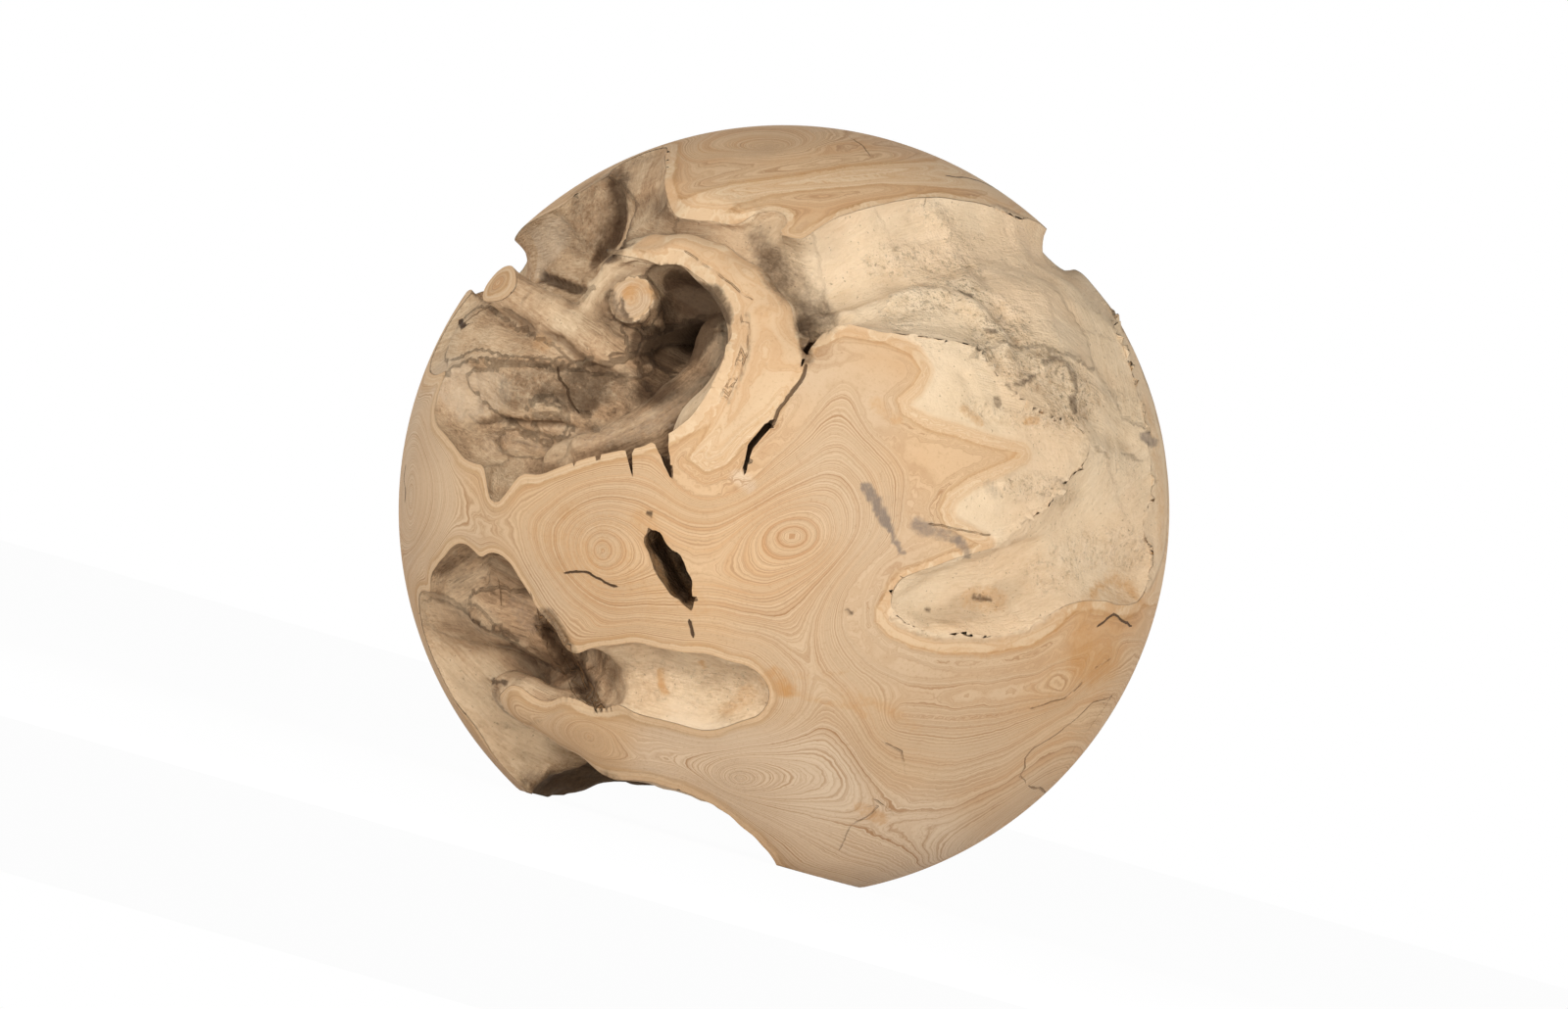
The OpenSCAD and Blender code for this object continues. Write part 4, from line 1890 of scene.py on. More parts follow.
    def piece(
        self, shell: Shell, points: Array, corners: Array, values: dict, vectors: dict
    ) -> bpy.types.Object:
        """Puts the shell into a mesh object.

        Args:
            shell: The triangles.
            points: Final points in millimetres, in the ball's own frame.
            corners: Normal of each triangle's corners.
            values: One number per point, by attribute name.
            vectors: Three numbers per point, by attribute name.

        Returns:
            The object, in metres, standing on the floor.
        """
        clump = self.wood.clump
        placed = (self.stand(points) + np.array([0, 0, clump.centre_height])) * METRES
        mesh = bpy.data.meshes.new("root_ball_wood")
        count = len(shell.triangles)
        mesh.vertices.add(len(placed))
        mesh.vertices.foreach_set("co", placed.astype(np.float32).reshape(-1))
        mesh.loops.add(count * 3)
        mesh.loops.foreach_set("vertex_index", shell.triangles.astype(np.int32).reshape(-1))
        mesh.polygons.add(count)
        mesh.polygons.foreach_set("loop_start", np.arange(0, count * 3, 3, dtype=np.int32))
        mesh.update(calc_edges=True)
        mesh.shade_smooth()
        mesh.normals_split_custom_set(self.stand(corners.reshape(-1, 3)).tolist())
        for name, column in values.items():
            layer = mesh.attributes.new(name, "FLOAT", "POINT")
            layer.data.foreach_set("value", np.asarray(column, np.float32))
        for name, rows in vectors.items():
            layer = mesh.attributes.new(name, "FLOAT_VECTOR", "POINT")
            layer.data.foreach_set("vector", np.asarray(rows, np.float32).reshape(-1))
        piece = add_object("root_ball_wood", mesh)
        LOG.info("%s: %d triangles", piece.name, count)
        return piece


# ---- Finish ----


class Tree:
    """Adds nodes to a shader tree and joins them."""

    def __init__(self, tree: bpy.types.NodeTree) -> None:
        """Keeps the tree, emptied."""
        self.tree = tree
        tree.nodes.clear()

    def node(self, kind: str, inputs: dict | None = None, **settings: object) -> bpy.types.Node:
        """Adds a node with its settings, and sets or joins its inputs by name or number.

        Args:
            kind: Type name of the node.
            inputs: Values or sockets for its inputs.
            settings: Values of its own settings.

        Returns:
            The node.
        """
        node = self.tree.nodes.new(kind)
        for name, value in settings.items():
            setattr(node, name, value)
        for key, value in (inputs or {}).items():
            self.feed(node.inputs[key], value)
        return node

    def feed(self, target: Socket, value: object) -> None:
        """Joins a socket to an input, or sets the input's value.

        Args:
            target: The input.
            value: A socket, a number or a colour.
        """
        if isinstance(value, bpy.types.NodeSocket):
            self.tree.links.new(value, target)
        elif isinstance(value, tuple) and len(value) == 3 and target.type == "RGBA":
            target.default_value = (*value, 1)
        else:
            target.default_value = value

    def math(self, operation: str, *terms: object) -> Socket:
        """A Math node on up to three terms."""
        return self.node("ShaderNodeMath", dict(enumerate(terms)), operation=operation).outputs[0]

    def plus(self, a: object, b: object) -> Socket:
        """Two numbers added."""
        return self.math("ADD", a, b)

    def minus(self, a: object, b: object) -> Socket:
        """The second number taken from the first."""
        return self.math("SUBTRACT", a, b)

    def times(self, a: object, b: object) -> Socket:
        """Product of two numbers."""
        return self.math("MULTIPLY", a, b)

    def times_plus(self, a: object, b: object, c: object) -> Socket:
        """Product of two numbers, with a third added."""
        return self.math("MULTIPLY_ADD", a, b, c)

    def mix(self, share: object, low: object, high: object, blend: str = "MIX") -> Socket:
        """Mixes two colours.

        Args:
            share: How much of the second.
            low: First colour.
            high: Second colour.
            blend: How they are mixed.

        Returns:
            The colour.
        """
        node = self.node("ShaderNodeMix", data_type="RGBA", blend_type=blend, clamp_factor=True)
        for number, value in ((0, share), (6, low), (7, high)):
            self.feed(node.inputs[number], value)
        return node.outputs[2]

    def blend(self, share: object, low: object, high: object) -> Socket:
        """Mixes two numbers.

        Args:
            share: How much of the second.
            low: First number.
            high: Second number.

        Returns:
            The number.
        """
        node = self.node("ShaderNodeMix", data_type="FLOAT", clamp_factor=True)
        for number, value in ((0, share), (2, low), (3, high)):
            self.feed(node.inputs[number], value)
        return node.outputs[0]

    def ease(self, value: object, low: object, high: object, start: float = 0.0, end: float = 1.0) -> Socket:
        """Eases from start to end as a value goes from low to high.

        Args:
            value: The value.
            low: Where it starts.
            high: Where it ends.
            start: Result at low.
            end: Result at high.

        Returns:
            The result.
        """
        inputs = {"Value": value, "From Min": low, "From Max": high, "To Min": start, "To Max": end}
        node = self.node("ShaderNodeMapRange", inputs, interpolation_type="SMOOTHSTEP")
        return node.outputs["Result"]

    def noise(self, place: object, scale: float, detail: float, rough: float, **more: object) -> Socket:
        """Noise from 0 to 1 at a scale per metre."""
        inputs = {"Vector": place, "Scale": scale, "Detail": detail, "Roughness": rough, **more}
        return self.node("ShaderNodeTexNoise", inputs).outputs["Fac"]

    def ramp_noise(self, number: Socket, scale: float, detail: float, rough: float) -> Socket:
        """Noise along one number, such as the rings."""
        inputs = {"W": number, "Scale": scale, "Detail": detail, "Roughness": rough}
        return self.node("ShaderNodeTexNoise", inputs, noise_dimensions="1D").outputs["Fac"]

    def backdrop_rays(self) -> Socket:
        """1 for the rays that see the backdrop: from the camera, off gloss or through glass.

        Returns:
            1 or 0.
        """
        path = self.node("ShaderNodeLightPath")
        shown = self.math("MAXIMUM", path.outputs["Is Camera Ray"], path.outputs["Is Glossy Ray"])
        return self.math("MAXIMUM", shown, path.outputs["Is Transmission Ray"])

    def read(self, name: str, vector: bool = False) -> Socket:
        """Reads one of the mesh's attributes."""
        node = self.node("ShaderNodeAttribute", attribute_name=name, attribute_type="GEOMETRY")
        return node.outputs["Vector" if vector else "Fac"]


class Group(Tree):
    """A node group, with its named inputs and outputs."""

    def __init__(self, name: str, inputs: dict[str, str], outputs: dict[str, str]) -> None:
        """Starts the group.

        Args:
            name: The group's name.
            inputs: Kinds of its inputs by name: Float, Vector or Color.
            outputs: Kinds of its outputs by name.
        """
        group = bpy.data.node_groups.new(name, "ShaderNodeTree")
        for side, sockets in (("INPUT", inputs), ("OUTPUT", outputs)):
            for label, kind in sockets.items():
                group.interface.new_socket(label, in_out=side, socket_type="NodeSocket" + kind)
        super().__init__(group)
        source = self.node("NodeGroupInput")
        self.given = {label: source.outputs[label] for label in inputs}
        self.out = self.node("NodeGroupOutput")

    def give(self, **results: object) -> bpy.types.NodeTree:
        """Joins the group's outputs by name.

        Args:
            results: Values or sockets by output.

        Returns:
            The group.
        """
        for label, value in results.items():
            self.feed(self.out.inputs[label], value)
        return self.tree


@dataclass(frozen=True)
class GroundWood:
    """Colours of the turned and sanded face, and of its growth rings."""

    heart: Colour = (0.655, 0.45, 0.265)
    warm: Colour = (0.56, 0.32, 0.155)
    deep: Colour = (0.37, 0.195, 0.085)
    sap: Colour = (0.72, 0.54, 0.345)
    edge: Colour = (0.48, 0.27, 0.11)
    faded: Colour = (0.60, 0.45, 0.30)
    pale: Colour = (0.71, 0.56, 0.40)
    sap_depth: float = 3.0

    def group(self) -> bpy.types.NodeTree:
        """Rings, sapwood along the bark, and pores, as one node group.

        Returns:
            The group.
        """
        inputs = {"Place": "Vector", "Ring": "Float", "Bark": "Float", "Pale": "Float"}
        tree = Group("ground_wood", inputs, {"Color": "Color", "Height": "Float", "Roughness": "Float"})
        place, ring, bark, faded_and_lit_by = (tree.given[label] for label in inputs)
        wave = tree.noise(place, 42, 3, 0.55)
        small = tree.noise(place, 210, 2, 0.5)
        tiny = tree.noise(place, 620, 2, 0.6)
        wobble = tree.times_plus(small, 0.5, tree.times_plus(tiny, 0.12, -1.4))
        wobble = tree.times_plus(wave, 2.2, wobble)
        wobble = tree.times(wobble, tree.ease(bark, 0.0, 14.0, 0.35, 1.0))
        turned = tree.plus(ring, wobble)
        saw = tree.math("FRACT", turned)
        saw_line = tree.times(tree.ease(saw, 0.55, 0.9), tree.ease(saw, 0.93, 1.0, 1.0, 0.0))
        fine = tree.ease(tree.ramp_noise(turned, 1.9, 3, 0.7), 0.46, 0.66)
        line = tree.math("MAXIMUM", tree.times(saw_line, 0.7), fine)
        weight = tree.ease(tree.ramp_noise(turned, 1.1, 2, 0.6), 0.36, 0.72)
        patch = tree.ease(tree.noise(place, 26, 2, 0.5), 0.35, 0.65)
        band = tree.ease(tree.ramp_noise(turned, 0.33, 3, 0.62), 0.42, 0.66)
        cloud = tree.noise(place, 9, 3, 0.55)
        warm = tree.times(band, tree.ease(cloud, 0.35, 0.65, 0.15, 1.0))
        colour = tree.mix(warm, self.heart, self.warm)
        faded = tree.ease(tree.noise(place, 7, 2, 0.5), 0.46, 0.66, 0.0, 0.7)
        colour = tree.mix(faded, colour, self.faded)
        # paler where the pale marks lie: faded wood, and painted light on the lower part
        colour = tree.mix(faded_and_lit_by, colour, self.pale)
        strength = tree.times(tree.times_plus(weight, 0.65, 0.35), tree.blend(patch, 0.6, 1.0))
        colour = tree.mix(tree.times(line, strength), colour, self.deep)
        ragged = tree.times_plus(tree.noise(place, 75, 3, 0.6), 3.4, tree.minus(bark, 1.7))
        ragged = tree.times_plus(tree.noise(place, 14, 2, 0.5), 6.0, tree.minus(ragged, 3.0))
        sap = tree.ease(ragged, self.sap_depth - 0.6, self.sap_depth + 0.6, 1.0, 0.0)
        edge = tree.times(
            tree.ease(ragged, self.sap_depth - 0.7, self.sap_depth + 0.3),
            tree.ease(ragged, self.sap_depth + 0.5, self.sap_depth + 3.0, 1.0, 0.0),
        )
        colour = tree.mix(tree.times(edge, 0.42), colour, self.edge)
        pale = tree.mix(tree.times_plus(line, 0.5, tree.times(band, 0.35)), self.sap, self.warm)
        colour = tree.mix(sap, colour, pale)
        pores = tree.noise(place, 600, 3, 0.65)
        colour = tree.mix(tree.ease(pores, 0.52, 0.75, 0.0, 0.3), colour, self.deep)
        height = tree.times_plus(line, -0.4, tree.times(pores, -0.5))
        rough = tree.blend(tree.noise(place, 70, 2, 0.5), 0.58, 0.74)
        return tree.give(Color=colour, Height=height, Roughness=rough)


SKIN_VALUES = ("Fibre Mix", "Tone", "Crevice", "Dell", "Furrow", "Crust", "Streaks")


@dataclass(frozen=True)
class RootSkin:
    """Colours of the roots' own skin inside the hollows."""

    cream: Colour = (0.70, 0.53, 0.345)
    tan: Colour = (0.47, 0.31, 0.18)
    stain: Colour = (0.21, 0.13, 0.072)
    # the darkest tone, which the pit's skin reaches: painted shade there
    dark: Colour = (0.03, 0.016, 0.008)
    bleached: Colour = (0.79, 0.62, 0.43)
    # colour of the specks, and of the painted shade in crevices
    soil_and_shade: Colour = (0.09, 0.047, 0.022)
    rosy: Colour = (1.0, 0.86, 0.76)
    mould: Colour = (0.12, 0.09, 0.055)

    def streaks(self) -> bpy.types.NodeTree:
        """Fibre streaks on coordinates that follow a root, as one node group.

        Returns:
            The group.
        """
        tree = Group("fibre_streaks", {"Fibre": "Vector"}, {"Wide": "Float", "Fine": "Float"})
        inputs = {0: tree.given["Fibre"], 1: (METRES,) * 3}
        metres = tree.node("ShaderNodeVectorMath", inputs, operation="MULTIPLY").outputs[0]
        wide = tree.noise(metres, 150, 3, 0.6, Distortion=0.4)
        return tree.give(Wide=wide, Fine=tree.noise(metres, 850, 3, 0.65, Distortion=0.3))

    def group(self) -> bpy.types.NodeTree:
        """The skin's tones, streaks and specks, painted shade in its crevices, dells and crumbs, and painted
        highlights on its ridges, as one node group.

        Returns:
            The group.
        """
        inputs = dict.fromkeys(("Place", "Fibre A", "Fibre B"), "Vector")
        inputs |= dict.fromkeys(SKIN_VALUES, "Float")
        tree = Group("root_skin", inputs, {"Color": "Color", "Height": "Float", "Roughness": "Float"})
        given = tree.given
        place, share = given["Place"], given["Fibre Mix"]
        streaks = self.streaks()
        first = tree.node("ShaderNodeGroup", {"Fibre": given["Fibre A"]}, node_tree=streaks)
        second = tree.node("ShaderNodeGroup", {"Fibre": given["Fibre B"]}, node_tree=streaks)
        wide = tree.blend(share, first.outputs["Wide"], second.outputs["Wide"])
        fine = tree.blend(share, first.outputs["Fine"], second.outputs["Fine"])
        wide, fine = (tree.blend(given["Streaks"], 0.5, part) for part in (wide, fine))
        cloud = tree.noise(place, 30, 4, 0.62)
        fleck = tree.noise(place, 330, 3, 0.62)
        hue = tree.ease(tree.noise(place, 17, 3, 0.55), 0.38, 0.62)
        tone = given["Tone"]
        spread = tree.ease(tone, 0.0, 0.45, 0.4, 1.1)
        for part, amount in ((cloud, 0.24), (wide, 0.5), (fine, 0.55), (fleck, 0.32)):
            step = tree.times(tree.times_plus(part, amount, -amount / 2), spread)
            tone = tree.plus(tone, step)
        # darker in dells: painted shade
        tone = tree.times_plus(given["Dell"], 0.26, tree.minus(tone, 0.05))
        # darker where the crumbs lie low, under their bumps: painted shade in their hollows
        crumbs = tree.noise(place, 190, 4, 0.7)
        hollowed = tree.times(tree.minus(0.5, crumbs), given["Crust"])
        tone = tree.times_plus(hollowed, 1.2, tone)
        ramp = tree.node("ShaderNodeValToRGB", {"Fac": tone})
        tints = (self.bleached, self.cream, self.tan, self.stain, self.dark)
        stops = tuple(zip((0.0, 0.18, 0.45, 0.72, 1.0), tints))
        elements = ramp.color_ramp.elements
        while len(elements) < len(stops):
            elements.new(0.5)
        for element, (position, colour) in zip(elements, stops):
            element.position, element.color = position, (*colour, 1)
        colour = tree.mix(tree.times(hue, 0.32), ramp.outputs["Color"], self.rosy, blend="MULTIPLY")
        # darker in crevices, more so on darker skin: painted shade
        crevice_shade = tree.ease(given["Tone"], 0.05, 0.5, 0.1, 0.7)
        colour = tree.mix(tree.times(tree.ease(given["Crevice"], 0.1, 0.8), crevice_shade), colour, self.soil_and_shade)
        # paler on the ridges between furrows: painted highlight
        raised = tree.ease(given["Furrow"], 0.62, 0.2, 0.0, 0.3)
        colour = tree.mix(raised, colour, self.cream)
        speck = tree.ease(tree.noise(place, 520, 2, 0.5), 0.66, 0.74)
        colour = tree.mix(tree.times(speck, 0.45), colour, self.soil_and_shade)
        mould = tree.ease(tree.noise(place, 360, 3, 0.65), 0.55, 0.64)
        colour = tree.mix(tree.times(mould, tree.times(given["Crust"], 0.55)), colour, self.mould)
        height = tree.times_plus(fine, 0.55, tree.times(fleck, 0.55))
        height = tree.times_plus(wide, 0.9, height)
        height = tree.times_plus(tree.times(crumbs, given["Crust"]), 3.2, height)
        return tree.give(Color=colour, Height=height, Roughness=tree.blend(fleck, 0.66, 0.85))


@dataclass(frozen=True)
class StainsAndShade:
    """Colours of the soft marks and the thin lines on the wood."""

    orange: Colour = (0.52, 0.26, 0.085)
    grey: Colour = (0.20, 0.155, 0.125)
    # colour of the dark marks: dark stain, and painted shadow where those marks stand in for shade
    dark: Colour = (0.07, 0.038, 0.019)
    pale: Colour = (0.70, 0.55, 0.39)
    crack: Colour = (0.06, 0.03, 0.014)
    spalt: Colour = (0.27, 0.14, 0.055)

    def group(self) -> bpy.types.NodeTree:
        """Lays the marks and the lines over a colour, as one node group.

        Returns:
            The group.
        """
        inputs = {"Place": "Vector", "Color": "Color", "StainsAndShade": "Vector", "Pale": "Float"}
        inputs |= {"Line": "Vector", "Line Tone": "Float"}
        tree = Group("root_stains_and_shade", inputs, {"Color": "Color", "Height": "Float"})
        given = tree.given
        place = given["Place"]
        marks = tree.node("ShaderNodeSeparateXYZ", {0: given["StainsAndShade"]})
        line = tree.node("ShaderNodeSeparateXYZ", {0: given["Line"]})
        ragged = tree.noise(place, 120, 4, 0.65)
        grain = tree.noise(place, 480, 3, 0.6)
        colour = given["Color"]
        orange, grey, dark = (marks.outputs[stain.value] for stain in (StainAndShade.ORANGE, StainAndShade.GREY, StainAndShade.DARK))
        # pale marks are partly painted light, and dark ones partly painted shadow
        shares = ((given["Pale"], self.pale), (orange, self.orange), (grey, self.grey), (dark, self.dark))
        worn = tree.times_plus(ragged, 0.5, tree.times_plus(grain, 0.3, -0.4))
        for share, tint in shares:
            fuzzy = tree.times_plus(share, 1.15, tree.minus(worn, 0.35))
            inside = tree.times(tree.ease(fuzzy, 0.0, 0.75), tree.ease(share, 0.0, 0.25))
            colour = tree.mix(tree.times(inside, 0.85), colour, tint)
        swing = tree.times_plus(tree.noise(place, 110, 3, 0.5), 2.4, -1.2)
        side = tree.math("ABSOLUTE", tree.plus(line.outputs[0], swing))
        taper = tree.ease(tree.times_plus(ragged, 0.5, line.outputs[1]), 0.35, 1.1)
        width = tree.times(tree.times(line.outputs[2], taper), tree.blend(grain, 0.4, 1.6))
        core = tree.ease(side, tree.times(width, 0.5), tree.plus(width, 0.3), 1.0, 0.0)
        core = tree.times(core, tree.ease(taper, 0.02, 0.3))
        gaps = tree.ease(tree.noise(place, 70, 3, 0.6), 0.42, 0.56, 0.1, 1.0)
        core = tree.times(core, tree.blend(tree.ease(given["Line Tone"], 0.55, 0.8), gaps, 1.0))
        ink = tree.mix(tree.ease(given["Line Tone"], 0.6, 0.9), self.spalt, self.crack)
        colour = tree.mix(tree.times(core, given["Line Tone"]), colour, ink)
        return tree.give(Color=colour, Height=tree.times(core, -1.0))


@dataclass(frozen=True)
class RootWood:
    """The whole finish: ground wood on the face, root skin in the hollows, and marks of stain, painted shadow
    and painted light over both.
    """

    ground: GroundWood = GroundWood()
    skin: RootSkin = RootSkin()
    stains_and_shade: StainsAndShade = StainsAndShade()
    bump: float = 0.0014
    specular: float = 0.16

    def material(self) -> bpy.types.Material:
        """Builds the material.

        Returns:
            The material.
        """
        material = bpy.data.materials.new("root_wood")
        material.use_nodes = True
        tree = Tree(material.node_tree)
        place = tree.node("ShaderNodeTexCoord").outputs["Object"]
        natural = tree.ease(tree.read("face_depth"), 0.04, 0.45)
        pale = tree.read("pale")
        inputs = {"Place": place, "Ring": tree.read("ring"), "Bark": tree.read("bark_depth"), "Pale": pale}
        ground = tree.node("ShaderNodeGroup", inputs, node_tree=self.ground.group())
        inputs = {label: tree.read(label.lower().replace(" ", "_")) for label in SKIN_VALUES}
        inputs["Place"] = place
        inputs["Fibre A"] = tree.read("fibre_a", vector=True)
        inputs["Fibre B"] = tree.read("fibre_b", vector=True)
        skin = tree.node("ShaderNodeGroup", inputs, node_tree=self.skin.group())
        inputs = {
            "Place": place,
            "Color": tree.mix(natural, ground.outputs["Color"], skin.outputs["Color"]),
            "StainsAndShade": tree.read("stains_and_shade", vector=True),
            "Pale": tree.times(pale, natural),
            "Line": tree.read("line", vector=True),
            "Line Tone": tree.read("line_tone"),
        }
        stains_and_shade = tree.node("ShaderNodeGroup", inputs, node_tree=self.stains_and_shade.group())
        rise = tree.blend(natural, tree.times(ground.outputs["Height"], 0.12), skin.outputs["Height"])
        rise = tree.plus(rise, stains_and_shade.outputs["Height"])
        bump = tree.node("ShaderNodeBump", {"Height": rise, "Strength": 1.0, "Distance": self.bump})
        rough = tree.blend(natural, ground.outputs["Roughness"], skin.outputs["Roughness"])
        inputs = {
            "Base Color": stains_and_shade.outputs["Color"],
            "Roughness": rough,
            "Normal": bump.outputs["Normal"],
            "Specular IOR Level": self.specular,
        }
        shader = tree.node("ShaderNodeBsdfPrincipled", inputs)
        tree.node("ShaderNodeOutputMaterial", {"Surface": shader.outputs[0]})
        return material


# ---- Studio ----


@dataclass(frozen=True)
class Lamp:
    """A soft lamp: its direction from the ball in the camera's right, up and toward, and its power."""

    name: str
    toward: tuple[float, float, float]
    distance: float
    size: float
    power: float
    colour: Colour = (1.0, 1.0, 1.0)


@dataclass
class Studio:
    """Floor, backdrop light, lamps and the camera, which leans with the ball."""

    clump: Clump
    distance: float = 18.0
    unit: float = 0.5076
    drop: float = 6.0
    floor_size: float = 14.0
    floor_tone: float = 0.92
    floor_glow: float = 0.97
    ambient: float = 0.27
    lamps: tuple[Lamp, ...] = (
        Lamp("key_lamp", (-0.62, 0.5, 0.75), 2.4, 0.5, 26.0, (1.0, 0.985, 0.96)),
        Lamp("front_lamp", (0.1, 0.0, 1.0), 3.0, 1.6, 30.0, (1.0, 0.99, 0.97)),
        Lamp("right_lamp", (0.85, 0.05, 0.8), 2.6, 1.6, 30.0, (1.0, 0.98, 0.95)),
    )

    def axes(self) -> Matrix:
        """The camera's right, up and backward axes: it looks along +Y and leans with the ball.

        Returns:
            The axes, as columns.
        """
        across, _, down = self.clump.down
        up = Vector((across, 0, -down))
        return Matrix((Vector((0, 1, 0)).cross(up), up, (0, -1, 0))).transposed()

    def centre(self) -> Vector:
        """The ball's centre."""
        return Vector((0, 0, self.clump.centre_height * METRES))

    def camera(self) -> bpy.types.Object:
        """A long lens far off, so that the ball shows without perspective.

        Returns:
            The camera.
        """
        data = bpy.data.cameras.new("studio_camera")
        width = FRAME_WIDTH * self.unit * METRES
        data.sensor_fit = "HORIZONTAL"
        data.lens = data.sensor_width * self.distance / width
        data.clip_end = 100
        camera = add_object("studio_camera", data)
        axes = self.axes()
        place = self.centre() + axes.col[1] * self.drop * self.unit * METRES + axes.col[2] * self.distance
        camera.matrix_world = Matrix.Translation(place) @ axes.to_4x4()
        bpy.context.scene.camera = camera
        return camera

    def light(self) -> None:
        """Places the lamps round the ball, each facing it."""
        axes = self.axes()
        for lamp in self.lamps:
            data = bpy.data.lights.new(lamp.name, "AREA")
            data.shape = "DISK"
            data.size = lamp.size
            data.energy = lamp.power
            data.color = lamp.colour
            way = (axes @ Vector(lamp.toward)).normalized()
            item = add_object(lamp.name, data)
            item.location = self.centre() + way * lamp.distance
            item.rotation_euler = way.to_track_quat("Z", "Y").to_euler()

    def world(self) -> None:
        """White behind everything, and a softer white that lights it."""
        world = bpy.data.worlds.new("studio_world")
        world.use_nodes = True
        bpy.context.scene.world = world
        tree = Tree(world.node_tree)
        shown = tree.backdrop_rays()
        soft = tree.node("ShaderNodeBackground", {"Color": (1.0, 1.0, 1.0), "Strength": self.ambient})
        white = tree.node("ShaderNodeBackground", {"Color": (1.0, 1.0, 1.0), "Strength": 1.0})
        mixed = tree.node("ShaderNodeMixShader", {0: shown, 1: soft.outputs[0], 2: white.outputs[0]})
        tree.node("ShaderNodeOutputWorld", {"Surface": mixed.outputs[0]})

    def floor(self) -> bpy.types.Object:
        """A plain pale floor that keeps a light shadow.

        Returns:
            The floor.
        """
        half = self.floor_size / 2
        mesh = bpy.data.meshes.new("studio_floor")
        corners = [(-half, -half, 0), (half, -half, 0), (half, half, 0), (-half, half, 0)]
        mesh.from_pydata(corners, [], [(0, 1, 2, 3)])
        material = bpy.data.materials.new("studio_floor")
        material.use_nodes = True
        tree = Tree(material.node_tree)
        share = tree.times(tree.backdrop_rays(), self.floor_glow)
        matt = tree.node("ShaderNodeBsdfDiffuse", {"Color": (self.floor_tone,) * 3})
        glow = tree.node("ShaderNodeEmission", {"Color": (1.0, 1.0, 1.0), "Strength": 1.0})
        mixed = tree.node("ShaderNodeMixShader", {0: share, 1: matt.outputs[0], 2: glow.outputs[0]})
        tree.node("ShaderNodeOutputMaterial", {"Surface": mixed.outputs[0]})
        mesh.materials.append(material)
        return add_object("studio_floor", mesh)

    def build(self) -> None:
        """Sets up the whole studio."""
        self.camera()
        self.light()
        self.world()
        self.floor()
        bpy.context.scene.view_settings.view_transform = "Standard"


# ---- This ball ----

